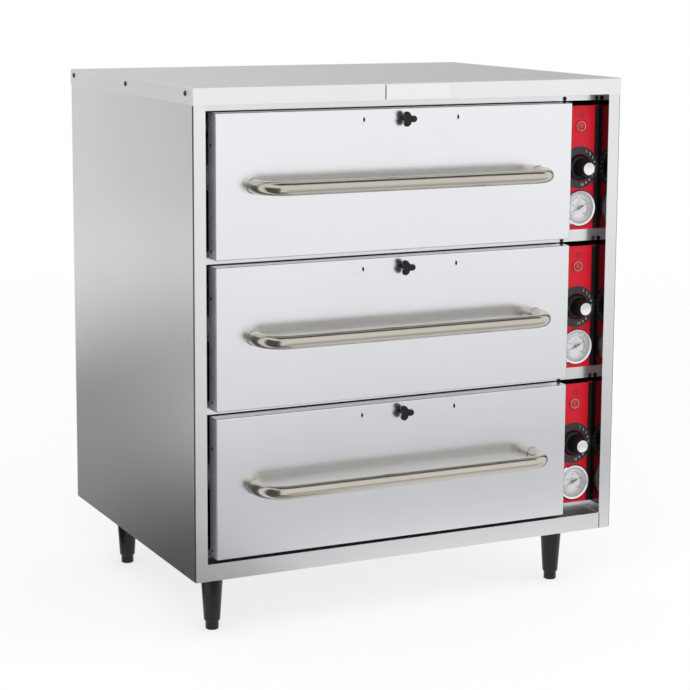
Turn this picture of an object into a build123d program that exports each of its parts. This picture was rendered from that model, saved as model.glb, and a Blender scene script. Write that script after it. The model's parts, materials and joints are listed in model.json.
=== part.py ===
from build123d import *
import os
from math import cos, radians, sin

# Free-standing food warmer with three roller drawers.
# X runs to the right, Y to the back and Z up. The origin is on the floor,
# under the middle of the whole object's box. All sizes are in millimetres.

# Cabinet
BODY_WIDTH = 756.0
BODY_DEPTH = 572.0
BODY_HEIGHT = 763.0
SHEET = 1.2
FOLD_RADIUS = 1.5
COVER_FLANGE = 26.5
LEFT_POST = 20.0
RIGHT_POST = 21.0
POST_RETURN = 45.0
REAR_FLANGE = 16.0
BOTTOM_RAIL = 27.0
RECESS = 30.0

# Legs
LEG_HEIGHT = 107.0
LEG_TOP_DIA = 38.5
LEG_NECK_DIA = 26.5
LEG_FOOT_DIA = 21.5
LEG_FOOT_HEIGHT = 16.0
LEG_SIDE_INSET = 61.8
LEG_END_INSET = 86.8
LEG_FOOT_CHAMFER = 1.2
LEG_FOOT_GROOVE = 2.0
LEG_NECK_CHAMFER = 1.0
LEG_STUD_DIA = 9.5
LEG_STUD_LENGTH = 12.0

# Bays and their front rails
BAY_NAMES = ("lower", "middle", "upper")
FIRST_FRONT_LIFT = 31.7
FRONT_UNDERLAP = 10.2
HEAD_SPACE = 18.2
RAIL_HEIGHT = 19.5
RAIL_FLANGE = 18.0
RAIL_OVER_FRONT = 1.6
LINER_LAP = 35.0
LINER_BACK_GAP = 23.4
FLOOR_HEM = 12.0

# Drawer fronts
FRONT_DEPTH = 28.0
FRONT_SIDE_GAP = 15.5
FRONT_LAP = 2.8

# Drawer frame, pan and runners
SLIDE_SPACE = 17.2
DRAWER_BACK_GAP = 31.2
DECK_DROP = 43.0
FRAME_SKIRT = 76.0
PAN_LENGTH = 502.0
PAN_WIDTH = 298.0
PAN_OVER_ELEMENT = 3.0
PAN_SHEET = 1.0
PAN_RIM = 13.5
PAN_CORNER = 40.0
PAN_RIM_CORNER = 22.0
PAN_FOOT = 16.0
PAN_TAPER = 4.0
PAN_SETBACK = 16.0
PAN_CLEARANCE = 1.5

# Roller slides
SLIDE_LIFT = 120.0
SLIDE_START = 50.0
SLIDE_BACK_GAP = 16.2
SLIDE_SHEET = 1.5
SLIDE_FLANGE = 13.5
RUNNER_START = 60.0
ROLLER_DIA = 29.4
ROLLER_WIDTH = 9.0
ROLLER_GAP = 0.3
ROLLER_PIN_DIA = 8.0
PIN_CLEARANCE = 0.05
RUNNER_HEADROOM = 1.5
ROLLER_CHAMFER = 0.8
ROLLER_SIDE_GAP = 1.0
ROLLER_PIN_SPARE = 1.5
RUNNER_SIDE_GAP = 1.5
CABINET_ROLLER_INSET = 16.0
DRAWER_ROLLER_INSET = 17.0

# Drawer handles
HANDLE_DIA = 22.2
HANDLE_SPAN = 504.0
HANDLE_REACH = 54.0
HANDLE_BEND = 38.0

# Moisture vents in the drawer fronts
VENT_LENGTH = 26.0
VENT_HEIGHT = 10.0
VENT_PITCH = 83.3
VENT_DROP = 16.5
VENT_OFFSET = 7.0
VENT_SLOT_LENGTH = 40.0
VENT_OPENING = 3.0
VENT_PLATE_HEIGHT = 20.0
VENT_PLATE_MARGIN = 14.0
VENT_LIP = 3.0
VENT_GAP = 0.3
VENT_STEM_DIA = 6.0
VENT_NECK_DIA = 9.0
VENT_NECK_LENGTH = 9.0
VENT_KNOB_LOBE = 4.0
VENT_KNOB_SIZE = 9.0
VENT_KNOB_THICK = 8.0
VENT_KNOB_LOBES = 3
VENT_KNOB_ROUND = 1.5

# Control column
CONTROL_WIDTH = 73.8
CONTROL_INSET = 35.7
CONTROL_TOP_GAP = 8.5
CONTROL_FLANGE = 15.0
DIAL_DIA = 70.0
DIAL_BORE = 46.5
DIAL_THICK = 1.0
DIAL_LIFT = 114.0
KNOB_SKIRT_DIA = 45.0
KNOB_SKIRT_THICK = 5.0
KNOB_SKIRT_RIM = 1.5
KNOB_SKIRT_DRAFT = 0.6
KNOB_ROOT = 3.0
KNOB_ROOT_RISE = 1.5
KNOB_SHOULDER = 1.8
KNOB_SHOULDER_DROP = 2.0
KNOB_CAP_MARGIN = 0.8
KNOB_CAP_PROUD = 0.6
KNOB_SINK = 1.0
KNOB_GRIP_DIA = 32.0
KNOB_CAP_DIA = 21.5
KNOB_PROUD = 29.5
KNOB_FLUTES = 12
KNOB_FLUTE_DIA = 5.0
KNOB_FLUTE_INSET = 0.8
KNOB_FLUTE_START = 2.5
KNOB_FLUTE_TAPER = 4.0
KNOB_STEM_DIA = 6.0
KNOB_STEM_SHORT = 1.0
KNOB_GAP = 0.3
BUSH_DIA = 9.6
BUSH_HOLE_DIA = 10.0
THERMOSTAT_WIDTH = 44.0
THERMOSTAT_HEIGHT = 40.0
THERMOSTAT_DEPTH = 32.0
THERMOSTAT_CORNER = 3.0
GAUGE_DIA = 61.0
GAUGE_CASE_DIA = 54.0
GAUGE_CASE_DEPTH = 16.0
GAUGE_BEZEL = 4.5
GAUGE_BEZEL_PROUD = 5.0
GAUGE_BEZEL_ROUND = 1.5
GAUGE_BEZEL_SLOPE = 0.8
GAUGE_CASE_ROUND = 2.0
GAUGE_LENS_SINK = 1.0
GAUGE_FACE_PROUD = 0.8
GAUGE_LENS_THICK = 1.0
GAUGE_LIFT = 46.2
GAUGE_FIT = 0.2
NEEDLE_LENGTH = 17.0
NEEDLE_TAIL = 9.0
NEEDLE_WIDTH = 1.2
NEEDLE_TAIL_WIDTH = 3.0
NEEDLE_THICK = 0.6
NEEDLE_LIFT = 0.5
NEEDLE_HUB_DIA = 5.0
NEEDLE_ANGLE = 204.5
SPINDLE_DIA = 1.6
LAMP_LIFT = 182.5
LAMP_DIA = 17.5
LAMP_PROUD = 5.0
LAMP_BEZEL_EDGE = 1.6
LAMP_BEZEL_WIDTH = 1.8
LAMP_BEZEL_PROUD = 2.6
LAMP_DOME_INSET = 3.2
LAMP_DOME_EDGE = 4.2
LAMP_DOME_FLAT = 5.6
LAMP_BARREL_DIA = 12.0
LAMP_BARREL_LENGTH = 20.0

# Heating elements
ELEMENT_DIA = 8.0
ELEMENT_LIFT = 12.0
ELEMENT_RUN = 430.0
ELEMENT_SPACING = 80.0
ELEMENT_RUNS = 4
ELEMENT_START = 90.0
ELEMENT_BEND_GAP = 4.0

# Back panel
LOUVRE_COUNT = 6
LOUVRE_WIDTH = 48.0
LOUVRE_PITCH = 16.0
LOUVRE_RISE = 8.0
LOUVRE_THICK = 1.0
LOUVRE_LIFT = 150.0
GLAND_DIA = 28.0
GLAND_BARREL_DIA = 24.0
GLAND_BORE = 12.0
GLAND_LENGTH = 10.0
GLAND_FLANGE = 1.0
GLAND_LIFT = 60.0

# Fasteners and insulation
SCREW_HEAD_DIA = 9.0
SCREW_HEAD_HEIGHT = 2.4
SCREW_SHANK_DIA = 4.0
SCREW_DROP = 10.0
SCREW_INSET = 28.0
SCREW_REAR_INSET = 18.0
SCREWS_A_SIDE = 3
INSULATION_GAP = 0.3

# Places worked out from the sizes
LEFT = -BODY_WIDTH / 2
RIGHT = BODY_WIDTH / 2
FRONT = (HANDLE_REACH + HANDLE_DIA / 2 - BODY_DEPTH - SHEET) / 2
BACK = FRONT + BODY_DEPTH
BASE = LEG_HEIGHT
TOP = BASE + BODY_HEIGHT
SKIN_TOP = TOP - SHEET
FLOOR_TOP = BASE + SHEET
RECESS_LEFT = LEFT + LEFT_POST
RECESS_RIGHT = RIGHT - RIGHT_POST
RAIL_Y = FRONT + RECESS
RAIL_BACK = RAIL_Y + SHEET
REAR_FLANGE_Y = BACK - 2 * SHEET
CAVITY_LEFT = RECESS_LEFT - SHEET
CAVITY_RIGHT = RECESS_RIGHT - CONTROL_WIDTH - SHEET
CAVITY_MIDDLE = (CAVITY_LEFT + CAVITY_RIGHT) / 2
CAVITY_BACK = REAR_FLANGE_Y - LINER_BACK_GAP
FRONT_WIDTH = BODY_WIDTH - LEFT_POST - RIGHT_POST - FRONT_SIDE_GAP - CONTROL_WIDTH + FRONT_LAP
FRONT_LEFT = RECESS_LEFT + FRONT_SIDE_GAP
FRONT_RIGHT = FRONT_LEFT + FRONT_WIDTH
FRONT_MIDDLE = (FRONT_LEFT + FRONT_RIGHT) / 2
BOX_LEFT = CAVITY_LEFT + SLIDE_SPACE
BOX_RIGHT = CAVITY_RIGHT - SLIDE_SPACE
BOX_FRONT = FRONT + FRONT_DEPTH
BOX_BACK = CAVITY_BACK - DRAWER_BACK_GAP
SLIDE_FRONT = FRONT + SLIDE_START
SLIDE_BACK = CAVITY_BACK - SLIDE_BACK_GAP
SCREW_PITCH = (BODY_DEPTH - SCREW_INSET - SCREW_REAR_INSET) / (SCREWS_A_SIDE - 1)
CONTROL_X = RECESS_RIGHT - CONTROL_INSET
VENT_X = FRONT_MIDDLE + VENT_OFFSET
VENT_SHIFT = VENT_LENGTH - VENT_OPENING
BAY_STACK = BODY_HEIGHT - FIRST_FRONT_LIFT - FRONT_UNDERLAP - HEAD_SPACE
BAY_PITCH = BAY_STACK / len(BAY_NAMES)
FRONT_HEIGHT = BAY_PITCH + FRONT_UNDERLAP - RAIL_HEIGHT - RAIL_OVER_FRONT
ELEMENT_TOP = SHEET + ELEMENT_LIFT + ELEMENT_DIA / 2
ELEMENT_BEND = ELEMENT_SPACING / 2 - ELEMENT_BEND_GAP
PAN_DEPTH = FRONT_HEIGHT - DECK_DROP - FRONT_UNDERLAP - ELEMENT_TOP - PAN_OVER_ELEMENT
ROLLER_REACH = ROLLER_DIA / 2
ROLLER_PIN_LENGTH = ROLLER_WIDTH + ROLLER_PIN_SPARE
CAVITY_SIDES = ((CAVITY_LEFT, 1), (CAVITY_RIGHT, -1))


def front_bottom(bay):
    return BASE + FIRST_FRONT_LIFT + bay * BAY_PITCH


def rail_bottom(bay):
    return front_bottom(bay) + FRONT_HEIGHT + RAIL_OVER_FRONT


def bay_floor(bay):
    # Top of the rail under this bay, where its floor sheet rests.
    return rail_bottom(bay - 1) + RAIL_HEIGHT


ROOF = rail_bottom(len(BAY_NAMES) - 1) + RAIL_HEIGHT


def keep(piece, name):
    piece.part.label = name
    export_step(piece.part, f"parts/{name}.step")


def block(x_range, y_range, z_range, mode=Mode.ADD):
    # A flat blank between two limits along each axis.
    middle = ((x_range[0] + x_range[1]) / 2, (y_range[0] + y_range[1]) / 2)
    with BuildSketch(Plane.XY.offset(z_range[0])) as blank:
        with Locations(middle):
            Rectangle(x_range[1] - x_range[0], y_range[1] - y_range[0])
    extrude(blank.sketch, amount=z_range[1] - z_range[0], mode=mode)


def fold(points, plane, length, thickness=SHEET, side=Side.LEFT):
    # Sheet folded along a line of points and run on for a length.
    with BuildSketch(plane) as section:
        with BuildLine():
            Polyline(*points)
            offset(amount=thickness, side=side, kind=Kind.INTERSECTION)
        make_face()
    extrude(section.sketch, amount=length)


def front_plane(y):
    # Looks along +Y: X to the right, Z up, and extrudes towards the front.
    return Plane(origin=(0, y, 0), x_dir=(1, 0, 0), z_dir=(0, -1, 0))


def side_plane(x):
    # Y and Z in the plane, and extrudes towards +X.
    return Plane(origin=(x, 0, 0), x_dir=(0, 1, 0), z_dir=(1, 0, 0))


def screw_places():
    return [(FRONT + SCREW_INSET + step * SCREW_PITCH, TOP - SCREW_DROP) for step in range(SCREWS_A_SIDE)]


def leg_places():
    x = BODY_WIDTH / 2 - LEG_SIDE_INSET
    return [(side * x, y) for side in (-1, 1) for y in (FRONT + LEG_END_INSET, BACK - LEG_END_INSET)]


# Top cover: a tray turned down over the skins
def make_top_cover():
    with BuildPart() as cover:
        block((LEFT - SHEET, RIGHT + SHEET), (FRONT - SHEET, BACK + SHEET), (TOP - COVER_FLANGE, TOP))
        folds = cover.faces().sort_by(Axis.Z)[-1].edges() + cover.edges().filter_by(Axis.Z)
        fillet(folds, FOLD_RADIUS)
        block((LEFT, RIGHT), (FRONT, BACK), (TOP - COVER_FLANGE, SKIN_TOP), Mode.SUBTRACT)
        with BuildSketch(side_plane(LEFT - SHEET)):
            with Locations(*screw_places()):
                Circle(SCREW_SHANK_DIA / 2)
        extrude(amount=BODY_WIDTH + 2 * SHEET, mode=Mode.SUBTRACT)
    keep(cover, "top_cover")


# Side skins: folded round the front posts and into a rear flange
def make_side_panels():
    for name, edge, way, post in (("left", LEFT, 1, LEFT_POST), ("right", RIGHT, -1, RIGHT_POST)):
        points = (
            (edge + way * post, FRONT + POST_RETURN),
            (edge + way * post, FRONT),
            (edge, FRONT),
            (edge, BACK - SHEET),
            (edge + way * REAR_FLANGE, BACK - SHEET),
        )
        inner = Side.LEFT if way < 0 else Side.RIGHT
        with BuildPart() as skin:
            fold(points, Plane.XY.offset(BASE), SKIN_TOP - BASE, side=inner)
            corners = [(edge, FRONT, BASE), (edge, BACK - SHEET, BASE)]
            uprights = skin.edges().filter_by(Axis.Z)
            fillet([uprights.sort_by_distance(corner)[0] for corner in corners], FOLD_RADIUS)
            with BuildSketch(side_plane(edge)):
                with Locations(*screw_places()):
                    Circle(SCREW_SHANK_DIA / 2)
            extrude(amount=way * SHEET, mode=Mode.SUBTRACT)
        keep(skin, f"side_panel_{name}")


# Back panel: a flat sheet with pressed louvres behind the controls
def make_back_panel():
    with BuildPart() as panel:
        block((LEFT, RIGHT), (BACK - SHEET, BACK), (BASE, SKIN_TOP))
        for bay in range(len(BAY_NAMES)):
            for step in range(LOUVRE_COUNT):
                z = front_bottom(bay) + LOUVRE_LIFT - step * LOUVRE_PITCH
                left = CONTROL_X - LOUVRE_WIDTH / 2
                with BuildSketch(side_plane(left)):
                    with BuildLine():
                        Polyline(
                            (BACK - SHEET, z),
                            (BACK - SHEET, z + LOUVRE_RISE),
                            (BACK - SHEET - LOUVRE_RISE / 2, z),
                            close=True,
                        )
                    make_face()
                extrude(amount=LOUVRE_WIDTH)
                with BuildSketch(side_plane(left + LOUVRE_THICK)):
                    with BuildLine():
                        Polyline(
                            (BACK, z),
                            (BACK, z + LOUVRE_RISE / 2),
                            (BACK - SHEET, z + LOUVRE_RISE / 2),
                            (BACK - SHEET - LOUVRE_RISE / 4, z),
                            close=True,
                        )
                    make_face()
                extrude(amount=LOUVRE_WIDTH - 2 * LOUVRE_THICK, mode=Mode.SUBTRACT)
        with BuildSketch(front_plane(BACK)):
            with Locations((CONTROL_X, BASE + GLAND_LIFT)):
                Circle(GLAND_BARREL_DIA / 2)
        extrude(amount=SHEET, mode=Mode.SUBTRACT)
    keep(panel, "back_panel")


# Base: floor sheet, bottom rail, ledge and riser
def make_base_panel():
    riser_top = bay_floor(0)
    with BuildPart() as base:
        fold(
            (
                (FRONT, BASE),
                (FRONT, BASE + BOTTOM_RAIL),
                (RAIL_BACK, BASE + BOTTOM_RAIL),
            ),
            side_plane(RECESS_LEFT),
            RECESS_RIGHT - RECESS_LEFT,
            side=Side.RIGHT,
        )
        block((RECESS_LEFT, RECESS_RIGHT), (RAIL_Y, RAIL_BACK), (BASE + BOTTOM_RAIL, riser_top))
        block(
            (RECESS_LEFT, CAVITY_RIGHT),
            (RAIL_BACK, RAIL_BACK + RAIL_FLANGE),
            (riser_top - SHEET, riser_top),
        )
        block((RECESS_LEFT, RECESS_RIGHT), (FRONT, REAR_FLANGE_Y), (BASE, FLOOR_TOP))
        block(
            (LEFT + SHEET, RIGHT - SHEET),
            (FRONT + POST_RETURN, REAR_FLANGE_Y),
            (BASE, FLOOR_TOP),
        )
        with BuildSketch(Plane.XY.offset(BASE)):
            with Locations(*leg_places()):
                Circle(LEG_STUD_DIA / 2)
        extrude(amount=SHEET, mode=Mode.SUBTRACT)
    keep(base, "base_panel")


# Front rails: a flanged rail over each bay, set back in the front opening
def make_front_rails():
    with BuildPart() as rails:
        for bay in range(len(BAY_NAMES)):
            low = rail_bottom(bay)
            high = low + RAIL_HEIGHT
            block((RECESS_LEFT, RECESS_RIGHT), (RAIL_Y, RAIL_BACK), (low, high))
            flange = (RAIL_BACK, RAIL_BACK + RAIL_FLANGE)
            block((RECESS_LEFT, CAVITY_RIGHT), flange, (low, low + SHEET))
            block((RECESS_LEFT, CAVITY_RIGHT), flange, (high - SHEET, high))
    keep(rails, "front_rails")


# Liners: the walls and roof that the warm bays have in common
def make_liners():
    with BuildPart() as left:
        block(
            (CAVITY_LEFT - SHEET, CAVITY_LEFT),
            (FRONT + POST_RETURN - LINER_LAP, CAVITY_BACK + SHEET),
            (FLOOR_TOP, ROOF + SHEET),
        )
    keep(left, "liner_left")
    with BuildPart() as right:
        block(
            (CAVITY_RIGHT, CAVITY_RIGHT + SHEET),
            (RAIL_BACK, CAVITY_BACK + SHEET),
            (FLOOR_TOP, ROOF + SHEET),
        )
    keep(right, "liner_right")
    with BuildPart() as rear:
        block((CAVITY_LEFT, CAVITY_RIGHT), (CAVITY_BACK, CAVITY_BACK + SHEET), (FLOOR_TOP, ROOF + SHEET))
    keep(rear, "liner_back")
    with BuildPart() as roof:
        block((RECESS_LEFT, CAVITY_RIGHT), (RAIL_BACK, CAVITY_BACK), (ROOF, ROOF + SHEET))
    keep(roof, "liner_top")


# Bay floors: a sheet with a hem turned up at the back
def make_bay_floor(bay, name):
    z = bay_floor(bay)
    with BuildPart() as floor:
        fold(
            ((RAIL_BACK, z), (CAVITY_BACK, z), (CAVITY_BACK, z + FLOOR_HEM)),
            side_plane(RECESS_LEFT),
            CAVITY_RIGHT - RECESS_LEFT,
        )
    keep(floor, f"bay_floor_{name}")


# Heating elements: one bent tube on each bay floor, ends in the right wall
def make_heating_elements():
    with BuildPart() as elements:
        for bay in range(len(BAY_NAMES)):
            z = bay_floor(bay) + SHEET + ELEMENT_LIFT
            points = [(CAVITY_RIGHT, FRONT + ELEMENT_START, z)]
            for run in range(ELEMENT_RUNS):
                y = FRONT + ELEMENT_START + run * ELEMENT_SPACING
                near = (CAVITY_MIDDLE + ELEMENT_RUN / 2, y, z)
                far = (CAVITY_MIDDLE - ELEMENT_RUN / 2, y, z)
                points += [far] if run == 0 else ([near, far] if run % 2 == 0 else [far, near])
            points[-1] = (CAVITY_RIGHT, points[-1][1], z)
            with BuildLine() as route:
                FilletPolyline(*points, radius=ELEMENT_BEND)
            with BuildSketch(Plane(route.line @ 0, z_dir=route.line % 0)):
                Circle(ELEMENT_DIA / 2)
            sweep(path=route.line)
    keep(elements, "heating_elements")


# Control panels: flanged plates between the rails, one beside each drawer
def make_control_panel(bay, name):
    low = bay_floor(bay)
    high = rail_bottom(bay) - CONTROL_TOP_GAP
    left = CAVITY_RIGHT + SHEET
    with BuildPart() as panel:
        fold(
            (
                (left, RAIL_Y + CONTROL_FLANGE),
                (left, RAIL_Y),
                (RECESS_RIGHT, RAIL_Y),
                (RECESS_RIGHT, RAIL_Y + CONTROL_FLANGE),
            ),
            Plane.XY.offset(low),
            high - low,
            side=Side.LEFT,
        )
        with BuildSketch(front_plane(RAIL_BACK)):
            with Locations((CONTROL_X, front_bottom(bay) + DIAL_LIFT)):
                Circle(BUSH_HOLE_DIA / 2)
            with Locations((CONTROL_X, front_bottom(bay) + GAUGE_LIFT)):
                Circle(GAUGE_CASE_DIA / 2 + GAUGE_FIT)
            with Locations((CONTROL_X, front_bottom(bay) + LAMP_LIFT)):
                Circle(LAMP_BARREL_DIA / 2)
        extrude(amount=SHEET, mode=Mode.SUBTRACT)
    keep(panel, f"control_panel_{name}")


def turned(profile, z, mode=Mode.ADD):
    # Turns a profile of (radius, height in front of the panel) about a control's axis.
    axis_plane = Plane(origin=(CONTROL_X, RAIL_Y, z), x_dir=(1, 0, 0), z_dir=(0, 0, 1))
    with BuildSketch(axis_plane) as section:
        with BuildLine():
            Polyline(*[(radius, -proud) for radius, proud in profile], close=True)
        make_face()
    revolve(section.sketch, axis=Axis((CONTROL_X, RAIL_Y, z), (0, 1, 0)), mode=mode)


# Dial plates: the numbered rings round the knobs
def make_dial_plates():
    with BuildPart() as plates:
        for bay in range(len(BAY_NAMES)):
            with BuildSketch(front_plane(RAIL_Y)):
                with Locations((CONTROL_X, front_bottom(bay) + DIAL_LIFT)):
                    Circle(DIAL_DIA / 2)
                    Circle(DIAL_BORE / 2, mode=Mode.SUBTRACT)
            extrude(amount=DIAL_THICK)
    keep(plates, "dial_plates")


# Thermostats: boxes behind the panels, with bushes that come through them
def make_thermostats():
    with BuildPart() as bodies:
        for bay in range(len(BAY_NAMES)):
            z = front_bottom(bay) + DIAL_LIFT
            with BuildSketch(front_plane(RAIL_BACK + THERMOSTAT_DEPTH)):
                with Locations((CONTROL_X, z)):
                    RectangleRounded(THERMOSTAT_WIDTH, THERMOSTAT_HEIGHT, THERMOSTAT_CORNER)
            extrude(amount=THERMOSTAT_DEPTH)
            with BuildSketch(front_plane(RAIL_BACK)):
                with Locations((CONTROL_X, z)):
                    Circle(BUSH_DIA / 2)
            extrude(amount=SHEET)
            with BuildSketch(front_plane(RAIL_BACK + THERMOSTAT_DEPTH / 2)):
                with Locations((CONTROL_X, z)):
                    Circle(KNOB_STEM_DIA / 2 + PIN_CLEARANCE)
            extrude(amount=THERMOSTAT_DEPTH, mode=Mode.SUBTRACT)
    keep(bodies, "thermostats")


# Thermostat knobs: skirt, fluted grip, flat cap and stem
def make_knob(bay, name):
    z = front_bottom(bay) + DIAL_LIFT
    skirt = KNOB_SKIRT_DIA / 2
    grip = KNOB_GRIP_DIA / 2
    cap = KNOB_CAP_DIA / 2
    stem = KNOB_STEM_DIA / 2
    stem_end = -SHEET - THERMOSTAT_DEPTH / 2 + KNOB_STEM_SHORT
    stem_top = KNOB_GAP + KNOB_SINK
    with BuildPart() as knob:
        turned(
            (
                (0, KNOB_GAP),
                (skirt, KNOB_GAP),
                (skirt - KNOB_SKIRT_DRAFT, KNOB_GAP + KNOB_SKIRT_RIM),
                (grip + KNOB_ROOT, KNOB_SKIRT_THICK),
                (grip, KNOB_SKIRT_THICK + KNOB_ROOT_RISE),
                (cap + KNOB_SHOULDER, KNOB_PROUD - KNOB_SHOULDER_DROP),
                (cap + KNOB_CAP_MARGIN, KNOB_PROUD - KNOB_CAP_PROUD),
                (cap, KNOB_PROUD - KNOB_CAP_PROUD),
                (cap, KNOB_PROUD),
                (0, KNOB_PROUD),
            ),
            z,
        )
        turned(((0, stem_end), (stem, stem_end), (stem, stem_top), (0, stem_top)), z)
        with BuildSketch(front_plane(RAIL_Y - KNOB_SKIRT_THICK - KNOB_FLUTE_START)):
            with Locations((CONTROL_X, z)):
                with PolarLocations(grip + KNOB_FLUTE_INSET, KNOB_FLUTES, start_angle=180.0 / KNOB_FLUTES):
                    Circle(KNOB_FLUTE_DIA / 2)
        extrude(amount=KNOB_PROUD, taper=-KNOB_FLUTE_TAPER, mode=Mode.SUBTRACT)
    keep(knob, f"knob_{name}")


# Pilot lamps: bezel, dome and a barrel through the panel
def make_pilot_lamps():
    bezel = LAMP_DIA / 2
    barrel = LAMP_BARREL_DIA / 2
    with BuildPart() as lamps:
        for bay in range(len(BAY_NAMES)):
            turned(
                (
                    (0, -LAMP_BARREL_LENGTH),
                    (barrel, -LAMP_BARREL_LENGTH),
                    (barrel, 0),
                    (bezel, 0),
                    (bezel, LAMP_BEZEL_EDGE),
                    (bezel - LAMP_BEZEL_WIDTH, LAMP_BEZEL_PROUD),
                    (bezel - LAMP_DOME_INSET, LAMP_DOME_EDGE),
                    (bezel - LAMP_DOME_FLAT, LAMP_PROUD),
                    (0, LAMP_PROUD),
                ),
                front_bottom(bay) + LAMP_LIFT,
            )
    keep(lamps, "pilot_lamps")


# Thermometers: case, face, spindle and bezel, with a lens and a needle of their own
def make_thermometer_cases():
    rim = GAUGE_DIA / 2
    case = GAUGE_CASE_DIA / 2
    sight = rim - GAUGE_BEZEL
    needle_top = GAUGE_FACE_PROUD + NEEDLE_LIFT + NEEDLE_THICK
    with BuildPart() as cases:
        for bay in range(len(BAY_NAMES)):
            z = front_bottom(bay) + GAUGE_LIFT
            turned(
                (
                    (0, -GAUGE_CASE_DEPTH),
                    (case - GAUGE_CASE_ROUND, -GAUGE_CASE_DEPTH),
                    (case, -GAUGE_CASE_DEPTH + GAUGE_CASE_ROUND),
                    (case, 0),
                    (rim, 0),
                    (rim, GAUGE_BEZEL_PROUD - GAUGE_BEZEL_ROUND),
                    (rim - GAUGE_BEZEL_ROUND, GAUGE_BEZEL_PROUD),
                    (sight, GAUGE_BEZEL_PROUD - GAUGE_BEZEL_SLOPE),
                    (sight, GAUGE_FACE_PROUD),
                    (SPINDLE_DIA / 2, GAUGE_FACE_PROUD),
                    (SPINDLE_DIA / 2, needle_top),
                    (0, needle_top),
                ),
                z,
            )
    keep(cases, "thermometer_cases")


def make_thermometer_lenses():
    sight = GAUGE_DIA / 2 - GAUGE_BEZEL
    outer = GAUGE_BEZEL_PROUD - GAUGE_LENS_SINK
    with BuildPart() as lenses:
        for bay in range(len(BAY_NAMES)):
            turned(
                (
                    (0, outer - GAUGE_LENS_THICK),
                    (sight, outer - GAUGE_LENS_THICK),
                    (sight, outer),
                    (0, outer),
                ),
                front_bottom(bay) + GAUGE_LIFT,
            )
    keep(lenses, "thermometer_lenses")


def make_needle(bay, name):
    z = front_bottom(bay) + GAUGE_LIFT
    turn = radians(NEEDLE_ANGLE)

    def along(reach, aside):
        x = CONTROL_X + reach * cos(turn) - aside * sin(turn)
        return (x, z + reach * sin(turn) + aside * cos(turn))

    with BuildPart() as needle:
        with BuildSketch(front_plane(RAIL_Y - GAUGE_FACE_PROUD - NEEDLE_LIFT)):
            with BuildLine():
                Polyline(
                    along(NEEDLE_LENGTH, 0),
                    along(0, NEEDLE_WIDTH / 2),
                    along(-NEEDLE_TAIL, NEEDLE_TAIL_WIDTH / 2),
                    along(-NEEDLE_TAIL, -NEEDLE_TAIL_WIDTH / 2),
                    along(0, -NEEDLE_WIDTH / 2),
                    close=True,
                )
            make_face()
            with Locations((CONTROL_X, z)):
                Circle(NEEDLE_HUB_DIA / 2)
                Circle(SPINDLE_DIA / 2 + PIN_CLEARANCE, mode=Mode.SUBTRACT)
        extrude(amount=NEEDLE_THICK)
    keep(needle, f"gauge_needle_{name}")


# Slide channels: fixed to the liners, each with the pin of its front roller
def slide_axis(bay):
    return front_bottom(bay) + SLIDE_LIFT


def make_slide_channels(bay, name):
    z = slide_axis(bay)
    low = z - ROLLER_REACH - ROLLER_GAP
    high = z + ROLLER_REACH + ROLLER_GAP + SLIDE_SHEET + RUNNER_HEADROOM
    pin_y = SLIDE_FRONT + CABINET_ROLLER_INSET
    with BuildPart() as channels:
        for wall, way in CAVITY_SIDES:
            web = wall + way * SLIDE_SHEET
            reach = wall + way * SLIDE_FLANGE
            web_x = sorted((wall, web))
            reach_x = sorted((wall, reach))
            run = (SLIDE_FRONT, SLIDE_BACK)
            block(web_x, run, (low - SLIDE_SHEET, high + SLIDE_SHEET))
            block(reach_x, run, (low - SLIDE_SHEET, low))
            block(reach_x, run, (high, high + SLIDE_SHEET))
            with BuildSketch(side_plane(web)):
                with Locations((pin_y, z)):
                    Circle(ROLLER_PIN_DIA / 2)
            extrude(amount=way * ROLLER_PIN_LENGTH)
    keep(channels, f"slide_channels_{name}")


def roller(x, way, y, z):
    # A chamfered nylon roller whose near face is at x and which grows along X.
    reach = ROLLER_REACH
    bore = ROLLER_PIN_DIA / 2 + PIN_CLEARANCE
    end = x + way * ROLLER_WIDTH
    with BuildSketch(Plane(origin=(0, y, z), x_dir=(1, 0, 0), z_dir=(0, -1, 0))) as section:
        with BuildLine():
            Polyline(
                (x, bore),
                (x, reach - ROLLER_CHAMFER),
                (x + way * ROLLER_CHAMFER, reach),
                (end - way * ROLLER_CHAMFER, reach),
                (end, reach - ROLLER_CHAMFER),
                (end, bore),
                close=True,
            )
        make_face()
    revolve(section.sketch, axis=Axis((0, y, z), (1, 0, 0)))


def make_rollers(bay, name):
    z = slide_axis(bay)
    front_y = SLIDE_FRONT + CABINET_ROLLER_INSET
    rear_y = BOX_BACK - DRAWER_ROLLER_INSET
    with BuildPart() as fixed:
        for wall, way in CAVITY_SIDES:
            roller(wall + way * (SLIDE_SHEET + ROLLER_SIDE_GAP), way, front_y, z)
    keep(fixed, f"cabinet_rollers_{name}")
    with BuildPart() as carried:
        for wall, way in CAVITY_SIDES:
            roller(wall + way * (SLIDE_SPACE - SLIDE_SHEET - ROLLER_SIDE_GAP), -way, rear_y, z)
    keep(carried, f"drawer_rollers_{name}")


# Drawer fronts: a hollow box of sheet, vented, with lips that guide the vent plate
def vent_slots(y, depth, shift, middle):
    with BuildSketch(front_plane(y)) as slots:
        for side in (-1, 1):
            with Locations((VENT_X + side * VENT_PITCH + shift, middle)):
                SlotOverall(VENT_LENGTH, VENT_HEIGHT)
    extrude(slots.sketch, amount=depth, mode=Mode.SUBTRACT)


def vent_height(bay):
    return front_bottom(bay) + FRONT_HEIGHT - VENT_DROP


def vent_plate_reach():
    return VENT_PITCH + VENT_LENGTH / 2 + VENT_SHIFT + VENT_PLATE_MARGIN


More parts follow.
